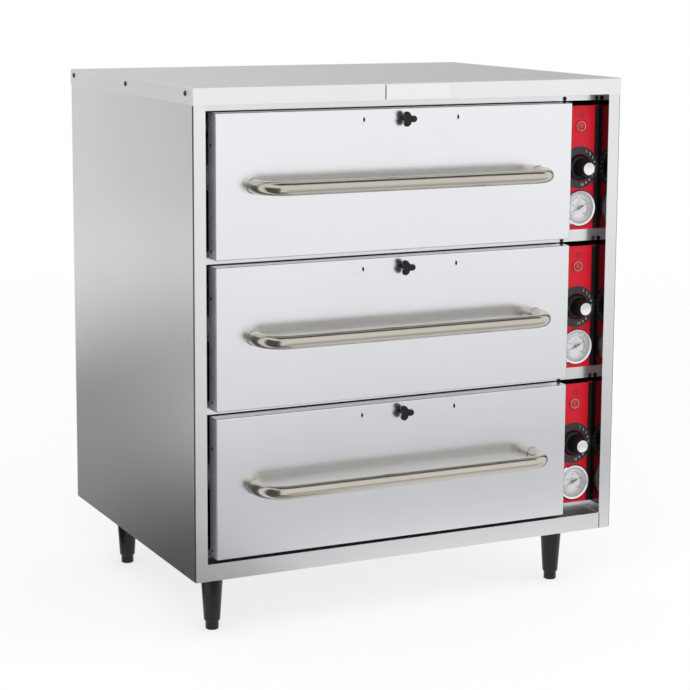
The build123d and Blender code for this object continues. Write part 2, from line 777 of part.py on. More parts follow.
def make_drawer_front(bay, name):
    low = front_bottom(bay)
    high = low + FRONT_HEIGHT
    vent_z = vent_height(bay)
    lip_back = FRONT + SHEET + 2 * VENT_GAP + SHEET
    lip_reach = vent_plate_reach() - VENT_PLATE_MARGIN
    with BuildPart() as front:
        block((FRONT_LEFT, FRONT_RIGHT), (FRONT, BOX_FRONT), (low, high))
        fillet(front.faces().sort_by(Axis.Y)[0].edges(), FOLD_RADIUS)
        block(
            (FRONT_LEFT + SHEET, FRONT_RIGHT - SHEET),
            (FRONT + SHEET, BOX_FRONT),
            (low + SHEET, high - SHEET),
            Mode.SUBTRACT,
        )
        for side in (-1, 1):
            inner = vent_z + side * (VENT_PLATE_HEIGHT / 2 + VENT_GAP)
            wrap = sorted((inner - side * VENT_LIP, inner + side * SHEET))
            block(
                (VENT_X - lip_reach, VENT_X + lip_reach),
                (FRONT + SHEET, lip_back + SHEET),
                sorted((inner, inner + side * SHEET)),
            )
            block((VENT_X - lip_reach, VENT_X + lip_reach), (lip_back, lip_back + SHEET), wrap)
        vent_slots(FRONT + SHEET, SHEET, 0, vent_z)
        with BuildSketch(front_plane(FRONT + SHEET)):
            with Locations((VENT_X, vent_z)):
                SlotOverall(VENT_SLOT_LENGTH, VENT_HEIGHT)
        extrude(amount=SHEET, mode=Mode.SUBTRACT)
    keep(front, f"drawer_front_{name}")


# Vent plate: slides behind the front and bares the two vents
def make_vent_plate(bay, name):
    z = vent_height(bay)
    front = FRONT + SHEET + VENT_GAP
    reach = vent_plate_reach()
    with BuildPart() as plate:
        block(
            (VENT_X - reach, VENT_X + reach),
            (front, front + SHEET),
            (z - VENT_PLATE_HEIGHT / 2, z + VENT_PLATE_HEIGHT / 2),
        )
        vent_slots(front + SHEET, SHEET, VENT_SHIFT, z)
    keep(plate, f"vent_plate_{name}")


# Vent knob: three lobes on a neck, with a stem through the middle slot
def make_vent_knob(bay, name):
    z = vent_height(bay)
    stem_back = FRONT + SHEET + VENT_GAP
    neck_back = FRONT - VENT_GAP
    head_back = neck_back - VENT_NECK_LENGTH
    with BuildPart() as knob:
        with BuildSketch(front_plane(stem_back)):
            with Locations((VENT_X, z)):
                Circle(VENT_STEM_DIA / 2)
        extrude(amount=stem_back - neck_back)
        with BuildSketch(front_plane(neck_back)):
            with Locations((VENT_X, z)):
                Circle(VENT_NECK_DIA / 2)
        extrude(amount=VENT_NECK_LENGTH)
        with BuildSketch(front_plane(head_back)) as head:
            with Locations((VENT_X, z)):
                with PolarLocations(VENT_KNOB_SIZE, VENT_KNOB_LOBES):
                    Circle(VENT_KNOB_LOBE)
            make_hull()
        extrude(amount=VENT_KNOB_THICK)
        fillet(knob.faces().sort_by(Axis.Y)[0].edges(), VENT_KNOB_ROUND)
    keep(knob, f"vent_knob_{name}")


# Drawer handles: a tube bent forward of the front at both ends
def make_handle(bay, name):
    z = front_bottom(bay) + FRONT_HEIGHT / 2
    left = FRONT_MIDDLE - HANDLE_SPAN / 2
    right = FRONT_MIDDLE + HANDLE_SPAN / 2
    with BuildPart() as handle:
        with BuildLine() as route:
            FilletPolyline(
                (left, FRONT, z),
                (left, FRONT - HANDLE_REACH, z),
                (right, FRONT - HANDLE_REACH, z),
                (right, FRONT, z),
                radius=HANDLE_BEND,
            )
        with BuildSketch(Plane(route.line @ 0, z_dir=route.line % 0)):
            Circle(HANDLE_DIA / 2)
        sweep(path=route.line)
    keep(handle, f"handle_{name}")


# Drawer frames: front wall, pan deck, skirts and the runners on the rollers
def make_drawer_frame(bay, name):
    low = front_bottom(bay)
    deck = low + FRONT_HEIGHT - DECK_DROP
    skirt_low = deck - FRAME_SKIRT
    z = slide_axis(bay)
    runner_low = z + ROLLER_REACH + ROLLER_GAP
    pan_y = BOX_FRONT + PAN_SETBACK + PAN_RIM + PAN_WIDTH / 2
    roller_y = BOX_BACK - DRAWER_ROLLER_INSET
    with BuildPart() as frame:
        block(
            (FRONT_LEFT, FRONT_RIGHT - 2 * SHEET),
            (BOX_FRONT, BOX_FRONT + SHEET),
            (bay_floor(bay) + 3 * SHEET, low + FRONT_HEIGHT - SHEET),
        )
        block((BOX_LEFT, BOX_RIGHT), (BOX_FRONT, BOX_BACK), (skirt_low, deck))
        block(
            (BOX_LEFT + SHEET, BOX_RIGHT - SHEET),
            (BOX_FRONT + SHEET, BOX_BACK - SHEET),
            (skirt_low, deck - SHEET),
            Mode.SUBTRACT,
        )
        with BuildSketch(Plane.XY.offset(deck - SHEET)):
            with Locations((CAVITY_MIDDLE, pan_y)):
                RectangleRounded(
                    PAN_LENGTH + 2 * PAN_CLEARANCE,
                    PAN_WIDTH + 2 * PAN_CLEARANCE,
                    PAN_CORNER + PAN_CLEARANCE,
                )
        extrude(amount=SHEET, mode=Mode.SUBTRACT)
        vent_slots(BOX_FRONT + SHEET, SHEET, 0, vent_height(bay))
        for wall, way in ((BOX_LEFT, -1), (BOX_RIGHT, 1)):
            web_x = sorted((wall, wall + way * SLIDE_SHEET))
            flange_x = sorted((wall, wall + way * (SLIDE_SPACE - SLIDE_SHEET - RUNNER_SIDE_GAP)))
            run = (FRONT + RUNNER_START, BOX_BACK)
            block(web_x, run, (z - ROLLER_REACH, runner_low + SLIDE_SHEET))
            block(flange_x, run, (runner_low, runner_low + SLIDE_SHEET))
            with BuildSketch(side_plane(wall + way * SLIDE_SHEET)):
                with Locations((roller_y, z)):
                    Circle(ROLLER_PIN_DIA / 2)
            extrude(amount=way * ROLLER_PIN_LENGTH)
    keep(frame, f"drawer_frame_{name}")


# Pans: a drawn tray with sloping walls and a rim that rests on the deck
def drawn_bowl(middle, rim_z, length, width, depth, corner, bottom_radius):
    with BuildPart() as bowl:
        with BuildSketch(Plane.XY.offset(rim_z)):
            with Locations(middle):
                RectangleRounded(length, width, corner)
        extrude(amount=-depth, taper=PAN_TAPER)
        fillet(bowl.faces().sort_by(Axis.Z)[0].edges(), bottom_radius)
    return bowl.part


def make_pan(bay, name):
    deck = front_bottom(bay) + FRONT_HEIGHT - DECK_DROP
    pan_y = BOX_FRONT + PAN_SETBACK + PAN_RIM + PAN_WIDTH / 2
    middle = (CAVITY_MIDDLE, pan_y)
    wall = PAN_SHEET
    mouth = (PAN_LENGTH - 2 * wall, PAN_WIDTH - 2 * wall, PAN_CORNER - wall)
    outside = drawn_bowl(middle, deck, PAN_LENGTH, PAN_WIDTH, PAN_DEPTH, PAN_CORNER, PAN_FOOT)
    inside = drawn_bowl(middle, deck, mouth[0], mouth[1], PAN_DEPTH - wall, mouth[2], PAN_FOOT - wall)
    with BuildPart() as pan:
        add(outside)
        with BuildSketch(Plane.XY.offset(deck)):
            with Locations(middle):
                RectangleRounded(PAN_LENGTH + 2 * PAN_RIM, PAN_WIDTH + 2 * PAN_RIM, PAN_RIM_CORNER)
                RectangleRounded(*mouth, mode=Mode.SUBTRACT)
        extrude(amount=wall)
        add(inside, mode=Mode.SUBTRACT)
    keep(pan, f"pan_{name}")


# Legs: tapered sleeves with a levelling foot and a stud into the base
def make_legs():
    with BuildPart() as legs:
        with BuildSketch(Plane.XZ):
            with BuildLine():
                Polyline(
                    (0, 0),
                    (LEG_FOOT_DIA / 2 - LEG_FOOT_CHAMFER, 0),
                    (LEG_FOOT_DIA / 2, LEG_FOOT_CHAMFER),
                    (LEG_FOOT_DIA / 2, LEG_FOOT_HEIGHT - LEG_FOOT_GROOVE),
                    (LEG_NECK_DIA / 2 - LEG_NECK_CHAMFER, LEG_FOOT_HEIGHT - LEG_FOOT_GROOVE),
                    (LEG_NECK_DIA / 2, LEG_FOOT_HEIGHT),
                    (LEG_TOP_DIA / 2, LEG_HEIGHT),
                    (LEG_STUD_DIA / 2, LEG_HEIGHT),
                    (LEG_STUD_DIA / 2, LEG_HEIGHT + LEG_STUD_LENGTH),
                    (0, LEG_HEIGHT + LEG_STUD_LENGTH),
                    close=True,
                )
            make_face()
        revolve(axis=Axis.Z)
    leg = legs.part
    with BuildPart() as all_legs:
        with Locations(*[(x, y, 0) for x, y in leg_places()]):
            add(leg)
    keep(all_legs, "legs")


# Cover screws: domed heads outside the flange, shanks through both skins
def make_cover_screws():
    with BuildPart() as screws:
        for edge, way in ((LEFT - SHEET, -1), (RIGHT + SHEET, 1)):
            for y, z in screw_places():
                with BuildSketch(Plane(origin=(edge, y, z), x_dir=(way, 0, 0), z_dir=(0, -1, 0))):
                    with BuildLine():
                        Line((-2 * SHEET, 0), (SCREW_HEAD_HEIGHT, 0))
                        ThreePointArc(
                            (SCREW_HEAD_HEIGHT, 0),
                            (0.75 * SCREW_HEAD_HEIGHT, 0.3 * SCREW_HEAD_DIA),
                            (0, SCREW_HEAD_DIA / 2),
                        )
                        Polyline(
                            (0, SCREW_HEAD_DIA / 2),
                            (0, SCREW_SHANK_DIA / 2),
                            (-2 * SHEET, SCREW_SHANK_DIA / 2),
                            (-2 * SHEET, 0),
                        )
                    make_face()
                revolve(axis=Axis((edge, y, z), (1, 0, 0)))
    keep(screws, "cover_screws")


# Cord gland: a snap bush in the back panel
def make_cord_gland():
    with BuildPart() as gland:
        with BuildSketch(front_plane(BACK)):
            with Locations((CONTROL_X, BASE + GLAND_LIFT)):
                Circle(GLAND_BARREL_DIA / 2)
                Circle(GLAND_BORE / 2, mode=Mode.SUBTRACT)
        extrude(amount=GLAND_LENGTH)
        with BuildSketch(front_plane(BACK + GLAND_FLANGE)):
            with Locations((CONTROL_X, BASE + GLAND_LIFT)):
                Circle(GLAND_DIA / 2)
                Circle(GLAND_BORE / 2, mode=Mode.SUBTRACT)
        extrude(amount=GLAND_FLANGE)
    keep(gland, "cord_gland")


# Insulation: slabs behind the left, rear and top liners
def make_insulation():
    gap = INSULATION_GAP
    with BuildPart() as slabs:
        block(
            (LEFT + SHEET + gap, CAVITY_LEFT - SHEET - gap),
            (FRONT + POST_RETURN + gap, REAR_FLANGE_Y - gap),
            (FLOOR_TOP + gap, SKIN_TOP - gap),
        )
        block(
            (RECESS_LEFT, CAVITY_RIGHT),
            (CAVITY_BACK + SHEET + gap, REAR_FLANGE_Y - gap),
            (FLOOR_TOP + gap, ROOF),
        )
        block(
            (RECESS_LEFT, CAVITY_RIGHT),
            (RAIL_BACK, CAVITY_BACK),
            (ROOF + SHEET + gap, SKIN_TOP - gap),
        )
    keep(slabs, "insulation")


os.makedirs("parts", exist_ok=True)
make_top_cover()
make_side_panels()
make_back_panel()
make_base_panel()
make_front_rails()
make_liners()
make_heating_elements()
make_dial_plates()
make_thermostats()
make_pilot_lamps()
make_thermometer_cases()
make_thermometer_lenses()
make_legs()
make_cover_screws()
make_cord_gland()
make_insulation()
for number, bay_name in enumerate(BAY_NAMES):
    make_bay_floor(number, bay_name)
    make_control_panel(number, bay_name)
    make_knob(number, bay_name)
    make_needle(number, bay_name)
    make_slide_channels(number, bay_name)
    make_rollers(number, bay_name)
    make_drawer_front(number, bay_name)
    make_vent_plate(number, bay_name)
    make_vent_knob(number, bay_name)
    make_handle(number, bay_name)
    make_drawer_frame(number, bay_name)
    make_pan(number, bay_name)
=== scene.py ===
import json
import math

import bmesh
import bpy
from mathutils import Matrix, Vector


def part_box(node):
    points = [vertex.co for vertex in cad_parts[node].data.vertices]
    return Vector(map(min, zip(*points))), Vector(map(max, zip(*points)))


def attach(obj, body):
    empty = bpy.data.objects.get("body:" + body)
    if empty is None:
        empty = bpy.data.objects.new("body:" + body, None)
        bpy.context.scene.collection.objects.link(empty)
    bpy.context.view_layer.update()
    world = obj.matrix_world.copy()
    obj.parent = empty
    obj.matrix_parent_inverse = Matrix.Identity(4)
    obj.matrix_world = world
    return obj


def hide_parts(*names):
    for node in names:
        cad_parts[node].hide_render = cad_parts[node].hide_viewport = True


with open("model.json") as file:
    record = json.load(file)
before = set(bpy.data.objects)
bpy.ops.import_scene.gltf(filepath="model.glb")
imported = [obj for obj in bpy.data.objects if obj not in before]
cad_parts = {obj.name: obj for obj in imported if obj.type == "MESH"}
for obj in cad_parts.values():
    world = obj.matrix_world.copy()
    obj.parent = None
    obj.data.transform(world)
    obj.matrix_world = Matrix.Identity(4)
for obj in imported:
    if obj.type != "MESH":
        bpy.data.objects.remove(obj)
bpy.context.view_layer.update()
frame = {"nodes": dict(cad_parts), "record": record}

# Looks of a free-standing three-drawer food warmer.
# Metres; X right, Y back, Z up; origin on the floor under the middle of the box.

MM = 0.001
BAYS = ("lower", "middle", "upper")
FORWARD = (0, -1, 0)
BACKWARD = (0, 1, 0)
TOUCHING = 1e-6

# Steps in a quarter of a rounded corner, and round solids of revolution
CORNER_STEPS = 6
TRIM_STEPS = 48
GAUGE_STEPS = 64
SCREW_STEPS = 24
NECK_STEPS = 32
BEAD_ROUND_STEPS = 40

# Camera: fitted to the photograph's corners, angles in degrees
IMAGE_SIZE = 690
FOCAL_PIXELS = 1998.75
SENSOR = 36.0
CAMERA_PLACE = (-1.47448, -3.02694, 1.04985)
CAMERA_AZIMUTH = -25.9508
CAMERA_ELEVATION = 8.8231
CAMERA_ROLL = 0.3119
CAMERA_SHIFT = -0.10

# Places on the control column, measured from a knob's axis
GAUGE_DROP = 67.8 * MM
LAMP_RISE = 68.5 * MM
GLYPH_RISE = 87.5 * MM
GLYPH_ASIDE = 2.0 * MM

# Dial figures: angles clockwise from twelve o'clock, in degrees
PRINT_THICK = 0.12 * MM
FIGURE_CURVE_STEPS = 3
DIAL_MARK_RADIUS = 29.2 * MM
DIAL_MARK_SIZE = 6.4 * MM
DIAL_FIRST_ANGLE = 26.0
DIAL_STEP_ANGLE = 16.0
DIAL_COUNT = 10

# Knob cap, as (radius, height) in millimetres, and the pointer on the knob's skirt
KNOB_CAP_PROFILE = ((0, 0), (10.4, 0), (10.4, 0.25), (10.0, 0.5), (8.944, 0.5), (8.528, 0.3), (0, 0.3))
POINTER_REACH = (1.2 * MM, 4.6 * MM)
POINTER_HALF_WIDTH = 0.9 * MM
POINTER_GAP = 2.2 * MM
POINTER_THICK = 2.6 * MM

# Thermometer face: millimetres and degrees
GAUGE_PROFILE = ((1.0, 0), (25.8, 0), (25.8, 0.2), (1.0, 0.2), (1.0, 0))
GAUGE_GAP = 0.8 * MM
GAUGE_THICK = 0.2 * MM
GAUGE_PRINT_THICK = 0.06 * MM
GAUGE_START = -135
GAUGE_SWEEP = 270
TICK_GAPS = 46
TICK_GROUP = 5
TICK_OUTER = 22.6 * MM
LONG_TICK = (20.0 * MM, 0.45 * MM)
SHORT_TICK = (21.4 * MM, 0.25 * MM)
FIGURE_GAPS = 4
FIGURE_STEP = 100
FIGURE_RADIUS = 13.0 * MM
FIGURE_SIZE = 3.3 * MM
# Radius, width, first and last angle, and the material's place in GAUGE_LOOKS
GAUGE_BANDS = ((18.4, 0.5, -135, 135, 1), (16.6, 1.1, 20, 62, 3), (16.6, 1.1, 62, 135, 2))
BAND_STEPS = 40
GAUGE_LOOKS = ("face_white", "print_black", "print_red", "print_green")
BLACK_PRINT = 1

# Power symbol and lamp ring
GLYPH_RADIUS = 4.2 * MM
GLYPH_LINE = 1.2 * MM
GLYPH_ARC = (35, 325)
GLYPH_STEPS = 28
GLYPH_BAR = (1.2 * MM, 5.6 * MM)
LAMP_RING_PROFILE = (
    (7.3, 1.0), (7.3, 3.3), (7.9, 3.7), (8.0, 3.0), (8.9, 1.6), (8.9, 0), (7.3, 0), (7.3, 1.0),
)

# Bare plate on the cover's front
PLATE_WIDTH = 112.0 * MM
PLATE_HEIGHT = 22.5 * MM
PLATE_THICK = 1.0 * MM
PLATE_CORNER = 1.2 * MM
PLATE_BEVEL = 0.35 * MM
PLATE_BEVEL_STEPS = 2
PLATE_DROP = 0.6 * MM
PLATE_EDGE = 1.1 * MM
PLATE_EDGE_THICK = 0.6 * MM

# Screws: a head's profile as (share of radius, share of height)
SCREW_PROFILE = ((1, 0), (0.96, 0.32), (0.75, 0.75), (0.42, 1), (0.30, 0.54), (0, 0.32))
SCREW_DOME = 0.56
RAIL_HEIGHT = 19.5 * MM
RAIL_SCREW_RISE = 3.4 * MM
RAIL_SCREW_RADIUS = 3.8 * MM
RAIL_SCREW_X = (289.5 * MM, 351.5 * MM)
SIDE_SCREW_RADIUS = 2.6 * MM
SIDE_SCREW_RISES = (12.0 * MM, 174.0 * MM)
SIDE_SCREW_DEPTH = 17.0 * MM
BACK_SCREW_RADIUS = 3.2 * MM
BACK_SCREW_DOME = 0.3
BACK_SCREW_ROWS = 5
BACK_SCREW_INSET = 12.0 * MM

# Thin strips of painted reflection, black strips of painted shade and dark reflection, and edgings
STRIP_MARGIN = 1.2 * MM
STRIP_CORNER = 1.0 * MM
STRIP_THICK = 0.3 * MM
POST_STRIP_THICK = 0.25 * MM
# Black strips of painted shade and painted dark reflection at the body's front corners and on the bottom
# rail
SHADE_STRIP_START = 0.4 * MM
SHADE_STRIP_WIDTH = 2.6 * MM
SHADE_STRIP_CORNER = 0.8 * MM
SHADE_STRIP_THICK = 0.25 * MM
SHADE_STRIP_END = 1.0 * MM
BOTTOM_RAIL = 27.0 * MM
RAIL_SHADE_STRIP_WIDTH = 1.2 * MM
RAIL_SHADE_STRIP_MARGIN = 0.5 * MM
RAIL_SHADE_STRIP_CORNER = 0.3 * MM
# Dark sheet of painted shade on the sill under the lowest drawer
SILL_THICK = 0.3 * MM
SILL_SIDE = 1.0 * MM
SILL_FRONT = 2.2 * MM
SILL_BACK = 0.4 * MM
SILL_CORNER = 1.0 * MM
EDGE_INSET = 0.6 * MM
EDGE_WIDTH = 7.0 * MM
EDGE_GAP = 0.5 * MM
EDGE_LINE = 0.5 * MM
EDGE_CORNER = 0.4 * MM
EDGE_THICK = 0.35 * MM

# Vent grip: its rings as (share of radius, share of the head's depth)
VENT_HEAD = 8.0 * MM
VENT_NECK = 4.5 * MM
VENT_WAIST = 0.9
VENT_STEM = 2.8 * MM
VENT_SINK = -0.3 * MM
VENT_VALLEY = 5.4 * MM
VENT_LOBE = 13.0 * MM
VENT_LOBES = 3
VENT_LOBE_POWER = 0.75
VENT_STEPS = 72
VENT_RINGS = ((0.90, 0.0), (1.0, 0.12), (1.0, 0.75), (0.93, 0.93), (0.80, 1.0))

# Weld beads round the handles' feet
HANDLE_RADIUS = 11.1 * MM
BEAD_WIRE = 1.3 * MM
BEAD_SINK = 0.4 * MM
BEAD_STEPS = 6

# Room and lamps
WORLD_COLOUR = (0.985, 0.99, 1.0, 1.0)
BACKDROP_COLOUR = (1.0, 1.0, 1.0, 1.0)
WORLD_FRONT = 1.05
WORLD_BACK = 0.60
WORLD_TOWARD = (0.25, -0.968, 0.0)
# Place, aim, size and watts
LAMPS = {
    "key": ((-1.9, -2.6, 3.0), (0, 0, 0.45), (2.4, 1.6), 26.0),
    "fill": ((2.8, -1.8, 1.9), (0, 0, 0.5), (1.6, 2.0), 10.0),
}

# Floor: its own tone for the object's light, a lifted one for the rays that show it
FLOOR_NEAR = 1.6
FLOOR_FAR = 4.2
FLOOR_SQUARES = 4
FLOOR_GRAIN = (2.0, 2.0, 2.0)
FLOOR_DARK = (0.60, 0.615, 0.645)
FLOOR_LIGHT = (0.63, 0.645, 0.675)
FLOOR_SHADED = (0.40, 0.40, 0.40, 1.0)
FLOOR_GLOW = (0.64, 0.64, 0.64, 1.0)

# Studio cards that only reflections see; a corner of two numbers lies just over the floor
LOW_CARD_Z = 0.004
CARD_TINT = (0.985, 0.985, 1.0)
HIDDEN_FROM = ("camera", "diffuse", "shadow", "transmission", "volume_scatter")
ACROSS = (1, 0, 0)
DEEP = (0, 1, 0)
DIAGONAL = (1, 1, 0)
BACK_CORNERS = ((-4.5, 4.6, 0.0), (4.5, 4.6, 0.0), (4.5, 4.6, 4.0), (-4.5, 4.6, 4.0))
BACK_STOPS = (
    (-4.5, 0.42), (-2.6, 0.40), (-1.95, 0.82), (-1.2, 0.80), (0.6, 0.60), (1.6, 0.53), (3.2, 0.37),
)
SIDE_CORNERS = ((-0.40, -0.10), (-0.40, 1.0), (-0.90, 4.6), (-2.9, 4.6), (-0.98, 1.0), (-0.80, -0.10))
SIDE_STOPS = (
    (-0.5, 0.07), (-0.28, 0.09), (0.2, 0.27), (0.5, 0.31),
    (0.85, 0.27), (1.3, 0.56), (1.6, 0.72), (2.2, 0.86),
)
FRONT_CORNERS = ((-0.9, -5.0), (3.4, -5.0), (3.4, -0.30), (-0.05, -0.30))
FRONT_STOPS = ((-5.0, 0.97), (-2.6, 0.85), (-1.75, 0.79), (-1.15, 0.56), (-0.85, 0.60), (-0.45, 0.92))
LEFT_CORNERS = ((-0.42, -1.0), (-0.42, -0.30), (0.04, -0.30), (0.04, -0.80))
LEFT_STOPS = ((-0.42, 0.24), (0.10, 0.66))

# Dark flags left of the object and over it, for the dark bands in its metal
FLAG_X = -0.62
FLAG_FRONT_X = -0.46
FLAG_FOOT_X = -0.42
FLAG_NEAR = -0.34
FLAG_FAR = -0.76
FLAG_TOP = 0.86
FLAG_STOPS = ((-1.0, 0.10), (1.0, 0.10))
FLAG_CORNERS = (
    (FLAG_X, FLAG_NEAR, 0.0), (FLAG_X, FLAG_FAR, 0.0),
    (FLAG_X, FLAG_FAR, FLAG_TOP), (FLAG_X, FLAG_NEAR, FLAG_TOP),
)
FLAG_FRONT_CORNERS = (
    (FLAG_X, FLAG_FAR, 0.0), (FLAG_FRONT_X, FLAG_FAR, 0.0),
    (FLAG_FRONT_X, FLAG_FAR, FLAG_TOP), (FLAG_X, FLAG_FAR, FLAG_TOP),
)
FOOT_CORNERS = ((FLAG_X, FLAG_NEAR), (FLAG_X, FLAG_FAR), (FLAG_FOOT_X, FLAG_FAR), (FLAG_FOOT_X, FLAG_NEAR))
CEILING_CORNERS = ((-0.8, -1.15, 2.0), (1.9, -1.15, 2.0), (1.9, -0.22, 2.0), (-0.8, -0.22, 2.0))
CEILING_STOPS = ((-1.0, 0.08), (1.0, 0.08))

# Corners, the direction its levels change in, and its stops as (distance, level)
CARDS = {
    "back_card": (BACK_CORNERS, ACROSS, BACK_STOPS),
    "side_card": (SIDE_CORNERS, DIAGONAL, SIDE_STOPS),
    "front_card": (FRONT_CORNERS, DEEP, FRONT_STOPS),
    "left_card": (LEFT_CORNERS, ACROSS, LEFT_STOPS),
    "dark_flag": (FLAG_CORNERS, DEEP, FLAG_STOPS),
    "dark_flag_front": (FLAG_FRONT_CORNERS, DEEP, FLAG_STOPS),
    "dark_foot": (FOOT_CORNERS, DEEP, FLAG_STOPS),
    "ceiling_flag": (CEILING_CORNERS, DEEP, CEILING_STOPS),
}

# Materials: grain is the noise's scale along each axis, in cycles a metre
NOISE_LOW = 0.3
NOISE_HIGH = 0.7
NOISE_ROUGHNESS = 0.62
FINE_DETAIL = 6.0
SKIN_DETAIL = 4.0
CLOUD_DETAIL = 3.0
FAINT_DETAIL = 2.0
METAL_DEPTH = 0.1 * MM
MOULDED_DEPTH = 0.05 * MM
# How far the gloss strays, as shares of the roughness
METAL_GLOSS = (0.82, 1.18)
MOULDED_GLOSS = (0.85, 1.2)
CLOUD_GRAIN = (3.1, 2.7, 3.4)
GRAIN_UPRIGHT = (2400.0, 2400.0, 9.0)
GRAIN_ACROSS = (9.0, 2400.0, 2400.0)
GRAIN_NONE = (260.0, 260.0, 260.0)

# Colour, roughness, grain, contrast, blotch, relief
METALS = {
    "steel": ((0.845, 0.845, 0.86), 0.23, GRAIN_UPRIGHT, 0.05, 0.05, 0.04),
    "cover_steel": ((0.90, 0.90, 0.905), 0.34, GRAIN_ACROSS, 0.03, 0.04, 0.03),
    "front_steel": ((0.885, 0.89, 0.915), 0.23, GRAIN_ACROSS, 0.025, 0.03, 0.025),
    "plated_steel": ((0.66, 0.67, 0.69), 0.30, GRAIN_NONE, 0.12, 0.10, 0.12),
    "handle_steel": ((0.60, 0.57, 0.50), 0.20, GRAIN_ACROSS, 0.10, 0.05, 0.05),
    "pan_steel": ((0.80, 0.80, 0.81), 0.20, GRAIN_NONE, 0.05, 0.05, 0.12),
    "bezel_chrome": ((0.86, 0.86, 0.87), 0.10, GRAIN_NONE, 0.04, 0.04, 0.05),
    "screw_black": ((0.06, 0.06, 0.065), 0.34, GRAIN_NONE, 0.20, 0.10, 0.12),
    "element_steel": ((0.24, 0.22, 0.21), 0.42, GRAIN_NONE, 0.25, 0.25, 0.12),
    "plate_white": ((0.95, 0.95, 0.95), 0.42, GRAIN_ACROSS, 0.02, 0.02, 0.05),
    # painted reflection: this dark colour stands in for the dark reflection in the right post's inner
    # return
    "painted_reflection_steel": ((0.12, 0.09, 0.095), 0.16, GRAIN_UPRIGHT, 0.10, 0.08, 0.03),
    "cap_silver": ((0.93, 0.93, 0.93), 0.34, GRAIN_NONE, 0.05, 0.03, 0.05),
}

# Colour, roughness, grain, contrast, relief, coat, gleam
MOULDINGS = {
    "panel_red": ((0.88, 0.012, 0.032), 0.34, 300.0, 0.10, 0.04, 0.0, 0.25),
    "dial_black": ((0.035, 0.037, 0.042), 0.42, 380.0, 0.25, 0.10, 0.0, 0.5),
    "knob_black": ((0.008, 0.008, 0.009), 0.34, 420.0, 0.30, 0.08, 0.0, 0.3),
    "lamp_red": ((0.62, 0.012, 0.015), 0.16, 240.0, 0.20, 0.04, 0.8, 0.5),
    "needle_black": ((0.02, 0.02, 0.022), 0.35, 500.0, 0.25, 0.10, 0.0, 0.5),
    "leg_black": ((0.006, 0.006, 0.007), 0.26, 260.0, 0.30, 0.08, 0.0, 0.35),
    "nylon": ((0.80, 0.79, 0.74), 0.42, 300.0, 0.08, 0.10, 0.0, 0.5),
    "fibre": ((0.83, 0.74, 0.42), 0.95, 160.0, 0.35, 0.8, 0.0, 0.5),
    "control_box": ((0.07, 0.07, 0.075), 0.50, 260.0, 0.25, 0.10, 0.0, 0.5),
    "print_white": ((0.86, 0.86, 0.86), 0.45, 500.0, 0.06, 0.05, 0.0, 0.5),
    "print_black": ((0.03, 0.03, 0.035), 0.45, 500.0, 0.20, 0.05, 0.0, 0.5),
    "print_red": ((0.70, 0.05, 0.06), 0.45, 500.0, 0.12, 0.05, 0.0, 0.5),
    "print_green": ((0.10, 0.42, 0.22), 0.45, 500.0, 0.12, 0.05, 0.0, 0.5),
    "glyph_dark": ((0.10, 0.006, 0.010), 0.45, 500.0, 0.20, 0.05, 0.0, 0.5),
    "face_white": ((0.95, 0.96, 0.96), 0.38, 350.0, 0.04, 0.05, 0.2, 0.5),
    # dark edging on the control panels; also painted shade and painted dark reflection in the body's
    # corner strips and the sill's sheet
    "edging_and_painted_shade_black": ((0.012, 0.012, 0.013), 0.45, 300.0, 0.30, 0.06, 0.0, 0.3),
    # painted reflection: this grey stands in for the reflection in the drawer fronts' side returns
    "painted_reflection_grey": ((0.44, 0.44, 0.46), 0.36, 60.0, 0.20, 0.05, 0.2, 0.5),
}
COAT_ROUGHNESS = 0.06
GLASS_COLOUR = (0.96, 0.98, 0.98, 1.0)
GLASS_GRAIN = (60.0, 60.0, 60.0)
GLASS_ROUGHNESS = 0.02
GLASS_GLOSS = (1.0, 2.5)
GLASS_ALPHA = 0.07
GLASS_IOR = 1.46


def centre_of(node):
    low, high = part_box(node)
    return (low + high) / 2


def in_metres(profile):
    return [(radius * MM, height * MM) for radius, height in profile]


# Material helpers
def start_material(name):
    material = bpy.data.materials.new(name)
    material.use_nodes = True
    tree = material.node_tree
    return material, tree.nodes, tree.links, tree.nodes["Principled BSDF"]


def stretched_noise(nodes, links, stretch, detail):
    """Noise with its own scale along each axis of the object's space."""
    place = nodes.new("ShaderNodeTexCoord")
    mapping = nodes.new("ShaderNodeMapping")
    mapping.inputs["Scale"].default_value = stretch
    noise = nodes.new("ShaderNodeTexNoise")
    noise.inputs["Scale"].default_value = 1.0
    noise.inputs["Detail"].default_value = detail
    noise.inputs["Roughness"].default_value = NOISE_ROUGHNESS
    links.new(place.outputs["Object"], mapping.inputs["Vector"])
    links.new(mapping.outputs["Vector"], noise.inputs["Vector"])
    return noise.outputs["Fac"]


def ramp_of(nodes, links, source, dark, light):
    ramp = nodes.new("ShaderNodeValToRGB")
    ramp.color_ramp.elements[0].position = NOISE_LOW
    ramp.color_ramp.elements[1].position = NOISE_HIGH
    ramp.color_ramp.elements[0].color = (*dark, 1.0)
    ramp.color_ramp.elements[1].color = (*light, 1.0)
    links.new(source, ramp.inputs["Fac"])
    return ramp.outputs["Color"]


def range_of(nodes, links, source, reach, low=0.0, high=1.0):
    """The source's reach, spread from low to high."""
    spread = nodes.new("ShaderNodeMapRange")
    spread.inputs["From Min"].default_value = reach[0]
    spread.inputs["From Max"].default_value = reach[1]
    spread.inputs["To Min"].default_value = low
    spread.inputs["To Max"].default_value = high
    links.new(source, spread.inputs["Value"])
    return spread.outputs["Result"]


def uneven_gloss(nodes, links, shader, source, rough, spread):
    low, high = (min(1.0, rough * share) for share in spread)
    gloss = range_of(nodes, links, source, (NOISE_LOW, NOISE_HIGH), low, high)
    links.new(gloss, shader.inputs["Roughness"])


